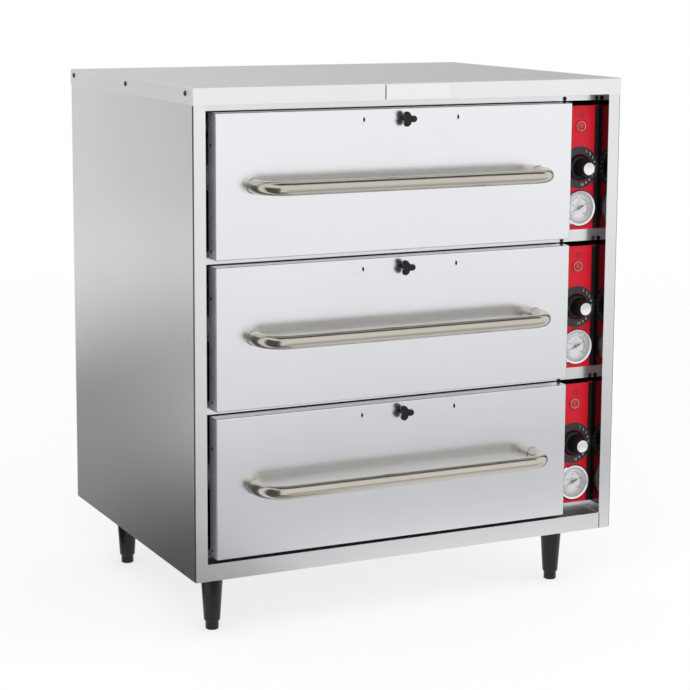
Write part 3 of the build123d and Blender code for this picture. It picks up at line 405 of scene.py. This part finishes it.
def relief(nodes, links, shader, source, strength, depth):
    bump = nodes.new("ShaderNodeBump")
    bump.inputs["Strength"].default_value = strength
    bump.inputs["Distance"].default_value = depth
    links.new(source, bump.inputs["Height"])
    links.new(bump.outputs["Normal"], shader.inputs["Normal"])


def shaded(colour, share):
    return tuple(channel * share for channel in colour)


def metal(name, colour, rough, grain, contrast, blotch, strength):
    """Brushed or drawn metal: fine grain, broad cloudiness and uneven gloss."""
    material, nodes, links, shader = start_material(name)
    shader.inputs["Metallic"].default_value = 1.0
    fine = stretched_noise(nodes, links, grain, FINE_DETAIL)
    broad = stretched_noise(nodes, links, CLOUD_GRAIN, CLOUD_DETAIL)
    fine_colour = ramp_of(nodes, links, fine, shaded(colour, 1.0 - contrast), colour)
    cloud = ramp_of(nodes, links, broad, (1.0 - blotch,) * 3, (1.0, 1.0, 1.0))
    blend = nodes.new("ShaderNodeMix")
    blend.data_type = "RGBA"
    blend.blend_type = "MULTIPLY"
    blend.inputs["Factor"].default_value = 1.0
    links.new(fine_colour, blend.inputs["A"])
    links.new(cloud, blend.inputs["B"])
    links.new(blend.outputs["Result"], shader.inputs["Base Color"])
    uneven_gloss(nodes, links, shader, fine, rough, METAL_GLOSS)
    relief(nodes, links, shader, fine, strength, METAL_DEPTH)
    return material


def moulded(name, colour, rough, grain, contrast, strength, coat, gleam):
    """Plastic, enamel or paint with a faint skin texture."""
    material, nodes, links, shader = start_material(name)
    noise = stretched_noise(nodes, links, (grain,) * 3, SKIN_DETAIL)
    tint = ramp_of(nodes, links, noise, shaded(colour, 1.0 - contrast), colour)
    links.new(tint, shader.inputs["Base Color"])
    uneven_gloss(nodes, links, shader, noise, rough, MOULDED_GLOSS)
    shader.inputs["Specular IOR Level"].default_value = gleam
    shader.inputs["Coat Weight"].default_value = coat
    shader.inputs["Coat Roughness"].default_value = COAT_ROUGHNESS
    relief(nodes, links, shader, noise, strength, MOULDED_DEPTH)
    return material


def glass(name):
    material, nodes, links, shader = start_material(name)
    noise = stretched_noise(nodes, links, GLASS_GRAIN, FAINT_DETAIL)
    uneven_gloss(nodes, links, shader, noise, GLASS_ROUGHNESS, GLASS_GLOSS)
    shader.inputs["Base Color"].default_value = GLASS_COLOUR
    shader.inputs["Alpha"].default_value = GLASS_ALPHA
    shader.inputs["IOR"].default_value = GLASS_IOR
    return material


def make_materials():
    materials = {name: metal(name, *look) for name, look in METALS.items()}
    for name, look in MOULDINGS.items():
        materials[name] = moulded(name, *look)
    materials["lens_glass"] = glass("lens_glass")
    return materials


def dress_frame():
    """Gives every CAD node the material that its row's slot names."""
    for row in frame["record"]["subparts"]:
        node = frame["nodes"][row["node"]]
        for holder in node.material_slots:
            holder.link = "OBJECT"
            holder.material = MATERIALS[row["material_slot"]]


# Mesh helpers
def make_object(mesh, name, materials):
    data = bpy.data.meshes.new(name)
    mesh.to_mesh(data)
    mesh.free()
    for material in materials:
        data.materials.append(material)
    thing = bpy.data.objects.new(name, data)
    bpy.context.scene.collection.objects.link(thing)
    return thing


def finish_piece(mesh, name, looks, body):
    piece = make_object(mesh, name, [MATERIALS[look] for look in looks])
    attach(piece, body)
    return piece


def turn_profile(mesh, profile, centre, axis, steps):
    """Adds a solid of revolution: profile is (radius, height along axis)."""
    turn = Vector((0, 0, 1)).rotation_difference(Vector(axis)).to_matrix()
    rings = []
    for radius, height in profile:
        if radius == 0:
            rings.append([mesh.verts.new(Vector(centre) + turn @ Vector((0, 0, height)))])
            continue
        ring = []
        for step in range(steps):
            angle = 2 * math.pi * step / steps
            point = Vector((radius * math.cos(angle), radius * math.sin(angle), height))
            ring.append(mesh.verts.new(Vector(centre) + turn @ point))
        rings.append(ring)
    for first, second in zip(rings, rings[1:]):
        for step in range(steps):
            after = (step + 1) % steps
            corners = [first[step % len(first)], first[after % len(first)],
                       second[after % len(second)], second[step % len(second)]]
            unique = list(dict.fromkeys(corners))
            if len(unique) > 2:
                mesh.faces.new(unique).smooth = True


def add_slab(mesh, outline, place, depth, material=0):
    """Adds a closed slab: a flat outline of (across, up), drawn out by depth."""
    back = [mesh.verts.new(place(across, up, 0.0)) for across, up in outline]
    front = [mesh.verts.new(place(across, up, depth)) for across, up in outline]
    count = len(outline)
    faces = [mesh.faces.new(back), mesh.faces.new(list(reversed(front)))]
    for step in range(count):
        after = (step + 1) % count
        faces.append(mesh.faces.new([back[after], back[step], front[step], front[after]]))
    for face in faces:
        face.material_index = material


def on_front(centre, y):
    """Maps (across, up, out) to a face at y that looks forward."""
    return lambda across, up, out: Vector((centre.x + across, y - out, centre.z + up))


def on_side(centre, way):
    """Maps (across, up, out) to a face through the centre that looks right, or left for a way of -1."""
    return lambda across, up, out: Vector((centre.x + way * out, centre.y - way * across, centre.z + up))


def on_top(centre):
    """Maps (across, along, out) to a face through the centre that looks up."""
    return lambda across, along, out: Vector((centre.x + across, centre.y + along, centre.z + out))


def rounded(width, height, corner):
    """Outline of a rectangle with rounded corners."""
    outline = []
    for side_x, side_z, start in ((1, 1, 0), (-1, 1, 90), (-1, -1, 180), (1, -1, 270)):
        for step in range(CORNER_STEPS + 1):
            angle = math.radians(start + 90 * step / CORNER_STEPS)
            outline.append((
                side_x * (width / 2 - corner) + corner * math.cos(angle),
                side_z * (height / 2 - corner) + corner * math.sin(angle),
            ))
    return outline


def polar(radius, angle_deg):
    """A point at an angle clockwise from twelve o'clock, as (across, up)."""
    angle = math.radians(angle_deg)
    return radius * math.sin(angle), radius * math.cos(angle)


def arc_band(radius, width, start, stop, steps):
    """Outline of a ring sector."""
    angles = [start + (stop - start) * step / steps for step in range(steps + 1)]
    inner = [polar(radius - width / 2, angle) for angle in angles]
    outer = [polar(radius + width / 2, angle) for angle in angles]
    return inner + outer[::-1]


def spoke(angle_deg, inner, outer, width):
    """Outline of a straight bar that points away from the middle."""
    along = Vector(polar(1.0, angle_deg))
    aside = Vector((along.y, -along.x)) * width / 2
    corners = (along * inner - aside, along * outer - aside, along * outer + aside, along * inner + aside)
    return [tuple(corner) for corner in corners]


def add_side_strip(mesh, x, way, reach_y, reach_z, corner, thick):
    """Adds a thin strip on a face at x that looks right, or left for a way of -1."""
    centre = Vector((x, sum(reach_y) / 2, sum(reach_z) / 2))
    outline = rounded(reach_y[1] - reach_y[0], reach_z[1] - reach_z[0], corner)
    add_slab(mesh, outline, on_side(centre, way), thick)


def add_text(mesh, words, size, centre_xz, y, depth, material=0):
    """Adds plain numerals as real raised shapes."""
    curve = bpy.data.curves.new("words", "FONT")
    curve.body = words
    curve.size = size
    curve.extrude = depth / 2
    curve.align_x = "CENTER"
    curve.align_y = "CENTER"
    curve.resolution_u = FIGURE_CURVE_STEPS
    holder = bpy.data.objects.new("words", curve)
    data = bpy.data.meshes.new_from_object(holder)
    data.transform(Matrix.Rotation(math.pi / 2, 4, "X"))
    data.transform(Matrix.Translation((centre_xz[0], y - depth / 2, centre_xz[1])))
    start = len(mesh.faces)
    mesh.from_mesh(data)
    mesh.faces.ensure_lookup_table()
    for face in mesh.faces[start:]:
        face.material_index = material
    bpy.data.objects.remove(holder)
    bpy.data.curves.remove(curve)
    bpy.data.meshes.remove(data)


def add_screw(mesh, centre, axis, radius, dome=SCREW_DOME):
    """Adds a domed head with a dished drive, as high as that share of its radius."""
    profile = [(radius * across, radius * dome * up) for across, up in SCREW_PROFILE]
    turn_profile(mesh, profile, centre, axis, SCREW_STEPS)


# Control column
def make_dial_marks(bay, centre):
    mesh = bmesh.new()
    dial_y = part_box("dial_plates")[0].y
    for number in range(DIAL_COUNT):
        across, up = polar(DIAL_MARK_RADIUS, DIAL_FIRST_ANGLE + DIAL_STEP_ANGLE * number)
        place = (centre.x + across, centre.z + up)
        add_text(mesh, str(number + 1), DIAL_MARK_SIZE, place, dial_y, PRINT_THICK)
    finish_piece(mesh, f"dial_marks_{bay}", ["print_white"], "cabinet")


def make_knob_cap(bay, centre):
    mesh = bmesh.new()
    front = (centre.x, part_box(f"knob_{bay}")[0].y, centre.z)
    turn_profile(mesh, in_metres(KNOB_CAP_PROFILE), front, FORWARD, TRIM_STEPS)
    finish_piece(mesh, f"knob_cap_{bay}", ["cap_silver"], f"thermostat_knob_{bay}")


def make_knob_pointer(bay, centre, panel_y):
    """White tick on the left of the knob's skirt."""
    low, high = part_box(f"knob_{bay}")
    skirt = (high.x - low.x) / 2
    start, stop = (reach - skirt for reach in POINTER_REACH)
    half = POINTER_HALF_WIDTH
    mesh = bmesh.new()
    outline = [(start, half), (stop, half), (stop, -half), (start, -half)]
    add_slab(mesh, outline, on_front(centre, panel_y - POINTER_GAP), POINTER_THICK)
    finish_piece(mesh, f"knob_pointer_{bay}", ["print_white"], f"thermostat_knob_{bay}")


def add_gauge_ticks(mesh, place):
    for step in range(TICK_GAPS + 1):
        angle = GAUGE_START + GAUGE_SWEEP * step / TICK_GAPS
        inner, width = SHORT_TICK if step % TICK_GROUP else LONG_TICK
        add_slab(mesh, spoke(angle, inner, TICK_OUTER, width), place, GAUGE_PRINT_THICK, BLACK_PRINT)


def add_gauge_figures(mesh, gauge, face_y):
    for step in range(FIGURE_GAPS + 1):
        across, up = polar(FIGURE_RADIUS, GAUGE_START + GAUGE_SWEEP * step / FIGURE_GAPS)
        place = (gauge.x + across, gauge.z + up)
        add_text(mesh, str(step * FIGURE_STEP), FIGURE_SIZE, place, face_y, GAUGE_PRINT_THICK, BLACK_PRINT)


def make_gauge_face(bay, centre, panel_y):
    gauge = Vector((centre.x, panel_y - GAUGE_GAP, centre.z - GAUGE_DROP))
    face_y = gauge.y - GAUGE_THICK
    place = on_front(gauge, face_y)
    mesh = bmesh.new()
    turn_profile(mesh, in_metres(GAUGE_PROFILE), gauge, FORWARD, GAUGE_STEPS)
    add_gauge_ticks(mesh, place)
    for radius, width, start, stop, paint in GAUGE_BANDS:
        band = arc_band(radius * MM, width * MM, start, stop, BAND_STEPS)
        add_slab(mesh, band, place, GAUGE_PRINT_THICK, paint)
    add_gauge_figures(mesh, gauge, face_y)
    finish_piece(mesh, f"gauge_face_{bay}", GAUGE_LOOKS, "cabinet")


def make_power_glyph(bay, centre, panel_y):
    glyph = Vector((centre.x + GLYPH_ASIDE, 0, centre.z + GLYPH_RISE))
    place = on_front(glyph, panel_y)
    mesh = bmesh.new()
    add_slab(mesh, arc_band(GLYPH_RADIUS, GLYPH_LINE, *GLYPH_ARC, GLYPH_STEPS), place, PRINT_THICK)
    add_slab(mesh, spoke(0, *GLYPH_BAR, GLYPH_LINE), place, PRINT_THICK)
    finish_piece(mesh, f"power_glyph_{bay}", ["glyph_dark"], "cabinet")


def make_lamp_ring(bay, centre, panel_y):
    mesh = bmesh.new()
    lamp = (centre.x, panel_y, centre.z + LAMP_RISE)
    turn_profile(mesh, in_metres(LAMP_RING_PROFILE), lamp, FORWARD, TRIM_STEPS)
    finish_piece(mesh, f"lamp_ring_{bay}", ["bezel_chrome"], "cabinet")


def make_panel_edge(bay):
    """Dark edging down the right side of a control panel, and a fine line beside it."""
    low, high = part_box(f"control_panel_{bay}")
    mesh = bmesh.new()
    height = high.z - low.z - 2 * EDGE_INSET
    for start, width in ((0.0, EDGE_WIDTH), (EDGE_WIDTH + EDGE_GAP, EDGE_LINE)):
        centre = Vector((high.x - start - width / 2, 0, (low.z + high.z) / 2))
        add_slab(mesh, rounded(width, height, EDGE_CORNER), on_front(centre, low.y), EDGE_THICK)
    finish_piece(mesh, f"panel_edge_{bay}", ["edging_and_painted_shade_black"], "cabinet")


# Cabinet trim, and strips of painted shade and painted reflection
def make_nameplate():
    """Bare plate in the middle of the cover's front, and the dark line at its left end."""
    low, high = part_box("top_cover")
    centre = Vector(((low.x + high.x) / 2, 0, (low.z + high.z) / 2 - PLATE_DROP))
    place = on_front(centre, low.y)
    front_y = low.y - PLATE_THICK
    plate = bmesh.new()
    add_slab(plate, rounded(PLATE_WIDTH, PLATE_HEIGHT, PLATE_CORNER), place, PLATE_THICK)
    rim = [edge for edge in plate.edges if all(abs(v.co.y - front_y) < TOUCHING for v in edge.verts)]
    bmesh.ops.bevel(plate, geom=rim, offset=PLATE_BEVEL, segments=PLATE_BEVEL_STEPS, affect="EDGES")
    finish_piece(plate, "nameplate", ["plate_white"], "cabinet")
    line = bmesh.new()
    left, half = -PLATE_WIDTH / 2, PLATE_HEIGHT / 2
    outline = [(left - PLATE_EDGE, -half), (left, -half), (left, half), (left - PLATE_EDGE, half)]
    add_slab(line, outline, place, PLATE_EDGE_THICK)
    finish_piece(line, "nameplate_edge", ["print_black"], "cabinet")


def make_rail_screws():
    low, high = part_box("front_rails")
    pitch = centre_of("knob_middle").z - centre_of("knob_lower").z
    mesh = bmesh.new()
    for step in range(len(BAYS)):
        z = high.z - RAIL_HEIGHT - step * pitch + RAIL_SCREW_RISE
        for x in RAIL_SCREW_X:
            add_screw(mesh, (x, low.y, z), FORWARD, RAIL_SCREW_RADIUS)
    finish_piece(mesh, "rail_screws", ["screw_black"], "cabinet")


def make_back_screws():
    low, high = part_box("back_panel")
    reach = high.z - low.z - 4 * BACK_SCREW_INSET
    mesh = bmesh.new()
    for step in range(BACK_SCREW_ROWS):
        z = low.z + BACK_SCREW_INSET + reach * step / (BACK_SCREW_ROWS - 1)
        for x in (low.x + BACK_SCREW_INSET, high.x - BACK_SCREW_INSET):
            add_screw(mesh, (x, high.y, z), BACKWARD, BACK_SCREW_RADIUS, BACK_SCREW_DOME)
    finish_piece(mesh, "back_screws", ["screw_black"], "cabinet")


def make_post_painted_reflection():
    """Painted reflection: a dark polished strip on the right post's inner return, beside the controls,
    standing in for that return's dark reflection.
    """
    rail_low, rail_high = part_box("front_rails")
    reach_y = (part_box("side_panel_right")[0].y + STRIP_MARGIN, rail_low.y)
    reach_z = (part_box("base_panel")[1].z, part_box("top_cover")[0].z)
    mesh = bmesh.new()
    add_side_strip(mesh, rail_high.x, -1, reach_y, reach_z, STRIP_CORNER, POST_STRIP_THICK)
    finish_piece(mesh, "post_painted_reflection", ["painted_reflection_steel"], "cabinet")


def make_body_painted_shade():
    """Black strips of painted shade and painted dark reflection where the side skins turn into the front
    posts, and one on the bottom rail.
    """
    mesh = bmesh.new()
    cover_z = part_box("top_cover")[0].z
    for side, way in (("left", -1), ("right", 1)):
        low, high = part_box(f"side_panel_{side}")
        x = low.x if way < 0 else high.x
        start = low.y + SHADE_STRIP_START
        reach_z = (low.z + SHADE_STRIP_END, cover_z - SHADE_STRIP_END)
        add_side_strip(mesh, x, way, (start, start + SHADE_STRIP_WIDTH), reach_z, SHADE_STRIP_CORNER, SHADE_STRIP_THICK)
    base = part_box("base_panel")[0]
    post_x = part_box("side_panel_right")[0].x
    middle = Vector((post_x + RAIL_SHADE_STRIP_WIDTH / 2, 0, base.z + BOTTOM_RAIL / 2))
    outline = rounded(RAIL_SHADE_STRIP_WIDTH, BOTTOM_RAIL - RAIL_SHADE_STRIP_MARGIN, RAIL_SHADE_STRIP_CORNER)
    add_slab(mesh, outline, on_front(middle, base.y), SHADE_STRIP_THICK)
    finish_piece(mesh, "body_painted_shade", ["edging_and_painted_shade_black"], "cabinet")


def make_sill_painted_shade():
    """Painted shade: a dark sheet lying on the sill under the lowest drawer, where the opening is in
    shade.
    """
    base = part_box("base_panel")[0]
    low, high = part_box("front_rails")
    reach_y = (base.y + SILL_FRONT, low.y - SILL_BACK)
    centre = Vector(((low.x + high.x) / 2, sum(reach_y) / 2, base.z + BOTTOM_RAIL))
    mesh = bmesh.new()
    outline = rounded(high.x - low.x - 2 * SILL_SIDE, reach_y[1] - reach_y[0], SILL_CORNER)
    add_slab(mesh, outline, on_top(centre), SILL_THICK)
    finish_piece(mesh, "sill_painted_shade", ["edging_and_painted_shade_black"], "cabinet")


# Drawers
def make_front_screws(bay):
    low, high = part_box(f"drawer_front_{bay}")
    mesh = bmesh.new()
    for rise in SIDE_SCREW_RISES:
        for x, way in ((low.x, -1), (high.x, 1)):
            add_screw(mesh, (x, low.y + SIDE_SCREW_DEPTH, low.z + rise), (way, 0, 0), SIDE_SCREW_RADIUS)
    finish_piece(mesh, f"front_screws_{bay}", ["screw_black"], f"drawer_{bay}")


def make_front_painted_reflections(bay):
    """Grey strips of painted reflection on both side returns of a drawer front."""
    low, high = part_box(f"drawer_front_{bay}")
    reach_y = (low.y + STRIP_MARGIN, high.y - STRIP_MARGIN)
    reach_z = (low.z + STRIP_MARGIN, high.z - STRIP_MARGIN)
    mesh = bmesh.new()
    for x, way in ((low.x, -1), (high.x, 1)):
        add_side_strip(mesh, x, way, reach_y, reach_z, STRIP_CORNER, STRIP_THICK)
    finish_piece(mesh, f"front_painted_reflections_{bay}", ["painted_reflection_grey"], f"drawer_{bay}")


def make_weld_beads(bay):
    """Weld beads round both feet of a drawer handle."""
    low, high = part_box(f"handle_{bay}")
    front_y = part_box(f"drawer_front_{bay}")[0].y
    inner = HANDLE_RADIUS - BEAD_SINK
    profile = [(inner, 0)]
    for step in range(BEAD_STEPS + 1):
        angle = math.pi / 2 * step / BEAD_STEPS
        profile.append((HANDLE_RADIUS + BEAD_WIRE * math.cos(angle), BEAD_WIRE * math.sin(angle)))
    profile += [(inner, BEAD_WIRE), (inner, 0)]
    mesh = bmesh.new()
    for x in (low.x + HANDLE_RADIUS, high.x - HANDLE_RADIUS):
        foot = (x, front_y, (low.z + high.z) / 2)
        turn_profile(mesh, profile, foot, FORWARD, BEAD_ROUND_STEPS)
    finish_piece(mesh, f"handle_welds_{bay}", ["handle_steel"], f"drawer_{bay}")


def add_lobed_head(mesh, centre, back_y):
    """Adds the three-lobed head that a finger pushes."""
    rings = []
    for share, depth in VENT_RINGS:
        ring = []
        for step in range(VENT_STEPS):
            angle = 2 * math.pi * step / VENT_STEPS
            lobe = (0.5 + 0.5 * math.cos(VENT_LOBES * angle)) ** VENT_LOBE_POWER
            radius = share * (VENT_VALLEY + (VENT_LOBE - VENT_VALLEY) * lobe)
            place = (centre.x + radius * math.cos(angle), back_y - depth * VENT_HEAD,
                     centre.z + radius * math.sin(angle))
            ring.append(mesh.verts.new(place))
        rings.append(ring)
    mesh.faces.new(rings[0])
    mesh.faces.new(rings[-1][::-1])
    for first, second in zip(rings, rings[1:]):
        for step in range(VENT_STEPS):
            after = (step + 1) % VENT_STEPS
            mesh.faces.new([first[after], first[step], second[step], second[after]]).smooth = True


def make_vent_grip(bay):
    """Three-lobed grip on its neck and stem, in place of the plainer solid."""
    low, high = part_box(f"vent_knob_{bay}")
    front_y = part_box(f"drawer_front_{bay}")[0].y
    centre = centre_of(f"vent_plate_{bay}")
    head_y = low.y + VENT_HEAD
    stem = high.y - front_y
    neck = head_y - front_y
    profile = ((0, stem), (VENT_STEM, stem), (VENT_STEM, VENT_SINK), (VENT_NECK, VENT_SINK),
               (VENT_NECK * VENT_WAIST, neck / 2), (VENT_NECK, neck), (0, neck))
    mesh = bmesh.new()
    turn_profile(mesh, profile, (centre.x, front_y, centre.z), BACKWARD, NECK_STEPS)
    add_lobed_head(mesh, centre, head_y)
    bmesh.ops.recalc_face_normals(mesh, faces=mesh.faces)
    grip = finish_piece(mesh, f"vent_grip_{bay}", ["knob_black"], f"vent_{bay}")
    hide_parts(f"vent_knob_{bay}")


# Stage
def start_stage_material(name):
    """An empty material: itself, its nodes and links, and the socket for its surface."""
    material = bpy.data.materials.new(name)
    material.use_nodes = True
    nodes, links = material.node_tree.nodes, material.node_tree.links
    nodes.clear()
    return material, nodes, links, nodes.new("ShaderNodeOutputMaterial").inputs["Surface"]


def distance_along(nodes, links, space, direction):
    place = nodes.new("ShaderNodeTexCoord")
    distance = nodes.new("ShaderNodeVectorMath")
    distance.operation = "DOT_PRODUCT"
    distance.inputs[1].default_value = direction
    links.new(place.outputs[space], distance.inputs[0])
    return distance.outputs["Value"]


def mixed(nodes, links, share, first, second):
    """The first shader where the share is 0, the second where it is 1."""
    mix = nodes.new("ShaderNodeMixShader")
    links.new(share, mix.inputs["Fac"])
    links.new(first.outputs[0], mix.inputs[1])
    links.new(second.outputs[0], mix.inputs[2])
    return mix


def seen_directly(nodes, links):
    """Is 1 for camera, glossy and transmission rays, which show the background."""
    path = nodes.new("ShaderNodeLightPath")
    total = path.outputs["Is Camera Ray"]
    for ray in ("Is Glossy Ray", "Is Transmission Ray"):
        either = nodes.new("ShaderNodeMath")
        either.operation = "MAXIMUM"
        links.new(total, either.inputs[0])
        links.new(path.outputs[ray], either.inputs[1])
        total = either.outputs["Value"]
    return total


def coloured(nodes, kind, colour):
    shader = nodes.new(kind)
    shader.inputs["Color"].default_value = colour
    return shader


def lifted_floor(nodes, links):
    """What the camera sees of the floor: near white, but with the object's shadow."""
    lifted = nodes.new("ShaderNodeAddShader")
    links.new(coloured(nodes, "ShaderNodeBsdfDiffuse", FLOOR_SHADED).outputs[0], lifted.inputs[0])
    links.new(coloured(nodes, "ShaderNodeEmission", FLOOR_GLOW).outputs[0], lifted.inputs[1])
    return lifted


def floor_material():
    """A pale floor that fades out into the background."""
    material, nodes, links, surface = start_stage_material("floor")
    plain = nodes.new("ShaderNodeBsdfDiffuse")
    noise = stretched_noise(nodes, links, FLOOR_GRAIN, FAINT_DETAIL)
    links.new(ramp_of(nodes, links, noise, FLOOR_DARK, FLOOR_LIGHT), plain.inputs["Color"])
    seen = mixed(nodes, links, seen_directly(nodes, links), plain, lifted_floor(nodes, links))
    place = nodes.new("ShaderNodeTexCoord")
    length = nodes.new("ShaderNodeVectorMath")
    length.operation = "LENGTH"
    links.new(place.outputs["Object"], length.inputs[0])
    fade = range_of(nodes, links, length.outputs["Value"], (FLOOR_NEAR, FLOOR_FAR))
    fade.node.interpolation_type = "SMOOTHSTEP"
    clear = nodes.new("ShaderNodeBsdfTransparent")
    links.new(mixed(nodes, links, fade, seen, clear).outputs[0], surface)
    return material


def make_floor():
    mesh = bmesh.new()
    bmesh.ops.create_grid(mesh, x_segments=FLOOR_SQUARES, y_segments=FLOOR_SQUARES, size=FLOOR_FAR)
    make_object(mesh, "floor", [floor_material()])


def make_world():
    """A pale room, brighter in front for diffuse light, and a plain white background."""
    world = bpy.data.worlds.new("studio")
    bpy.context.scene.world = world
    world.use_nodes = True
    nodes, links = world.node_tree.nodes, world.node_tree.links
    room = nodes["Background"]
    room.inputs["Color"].default_value = WORLD_COLOUR
    toward = distance_along(nodes, links, "Generated", WORLD_TOWARD)
    level = range_of(nodes, links, toward, (-1.0, 1.0), WORLD_BACK, WORLD_FRONT)
    links.new(level, room.inputs["Strength"])
    white = coloured(nodes, "ShaderNodeBackground", BACKDROP_COLOUR)
    mix = mixed(nodes, links, seen_directly(nodes, links), room, white)
    links.new(mix.outputs[0], nodes["World Output"].inputs["Surface"])


def card_material(name, along, stops):
    """Glows at the levels of its stops, by distance along a direction."""
    material, nodes, links, surface = start_stage_material(name)
    low, high = stops[0][0], stops[-1][0]
    share = range_of(nodes, links, distance_along(nodes, links, "Object", along), (low, high))
    ramp = nodes.new("ShaderNodeValToRGB")
    while len(ramp.color_ramp.elements) < len(stops):
        ramp.color_ramp.elements.new(0.5)
    for element, (position, level) in zip(ramp.color_ramp.elements, stops):
        element.position = (position - low) / (high - low)
        element.color = (*shaded(CARD_TINT, level), 1.0)
    links.new(share, ramp.inputs["Fac"])
    glow = nodes.new("ShaderNodeEmission")
    links.new(ramp.outputs["Color"], glow.inputs["Color"])
    links.new(glow.outputs[0], surface)
    return material


def make_card(name, corners, along, stops):
    mesh = bmesh.new()
    points = [point if len(point) == 3 else (*point, LOW_CARD_Z) for point in corners]
    mesh.faces.new([mesh.verts.new(point) for point in points])
    card = make_object(mesh, name, [card_material(name, along, stops)])
    for ray in HIDDEN_FROM:
        setattr(card, f"visible_{ray}", False)


def make_lamp(name, place, aim, size, watts):
    """A soft rectangular lamp that reflections don't show."""
    lamp = bpy.data.lights.new(name, "AREA")
    lamp.shape = "RECTANGLE"
    lamp.size, lamp.size_y = size
    lamp.energy = watts
    holder = bpy.data.objects.new(name, lamp)
    holder.location = place
    holder.visible_glossy = False
    holder.rotation_mode = "QUATERNION"
    holder.rotation_quaternion = (Vector(aim) - Vector(place)).to_track_quat("-Z", "Y")
    bpy.context.scene.collection.objects.link(holder)


def make_camera():
    azimuth = math.radians(CAMERA_AZIMUTH)
    elevation = math.radians(CAMERA_ELEVATION)
    roll = math.radians(CAMERA_ROLL)
    back = Vector((math.sin(azimuth) * math.cos(elevation),
                   -math.cos(azimuth) * math.cos(elevation), math.sin(elevation)))
    right = Vector((0, 0, 1)).cross(back).normalized()
    up = back.cross(right)
    side = math.cos(roll) * right + math.sin(roll) * up
    top = math.cos(roll) * up - math.sin(roll) * right
    lens = bpy.data.cameras.new("camera")
    lens.sensor_width = SENSOR
    lens.lens = FOCAL_PIXELS / IMAGE_SIZE * SENSOR
    lens.shift_y = CAMERA_SHIFT
    camera = bpy.data.objects.new("camera", lens)
    turn = Matrix((side, top, back)).transposed()
    camera.matrix_world = Matrix.Translation(CAMERA_PLACE) @ turn.to_4x4()
    bpy.context.scene.collection.objects.link(camera)
    bpy.context.scene.camera = camera


def make_bay(bay):
    knob_axis = centre_of(f"knob_{bay}")
    panel_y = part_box("dial_plates")[1].y
    make_dial_marks(bay, knob_axis)
    make_knob_cap(bay, knob_axis)
    make_knob_pointer(bay, knob_axis, panel_y)
    make_gauge_face(bay, knob_axis, panel_y)
    make_power_glyph(bay, knob_axis, panel_y)
    make_lamp_ring(bay, knob_axis, panel_y)
    make_front_screws(bay)
    make_front_painted_reflections(bay)
    make_panel_edge(bay)
    make_vent_grip(bay)
    make_weld_beads(bay)


MATERIALS = make_materials()
dress_frame()
make_nameplate()
make_rail_screws()
make_back_screws()
make_post_painted_reflection()
make_body_painted_shade()
make_sill_painted_shade()
for bay_name in BAYS:
    make_bay(bay_name)
make_floor()
make_world()
for card_name, card_look in CARDS.items():
    make_card(card_name, *card_look)
for lamp_name, lamp_look in LAMPS.items():
    make_lamp(lamp_name, *lamp_look)
make_camera()

bpy.context.scene.view_settings.view_transform = "Standard"
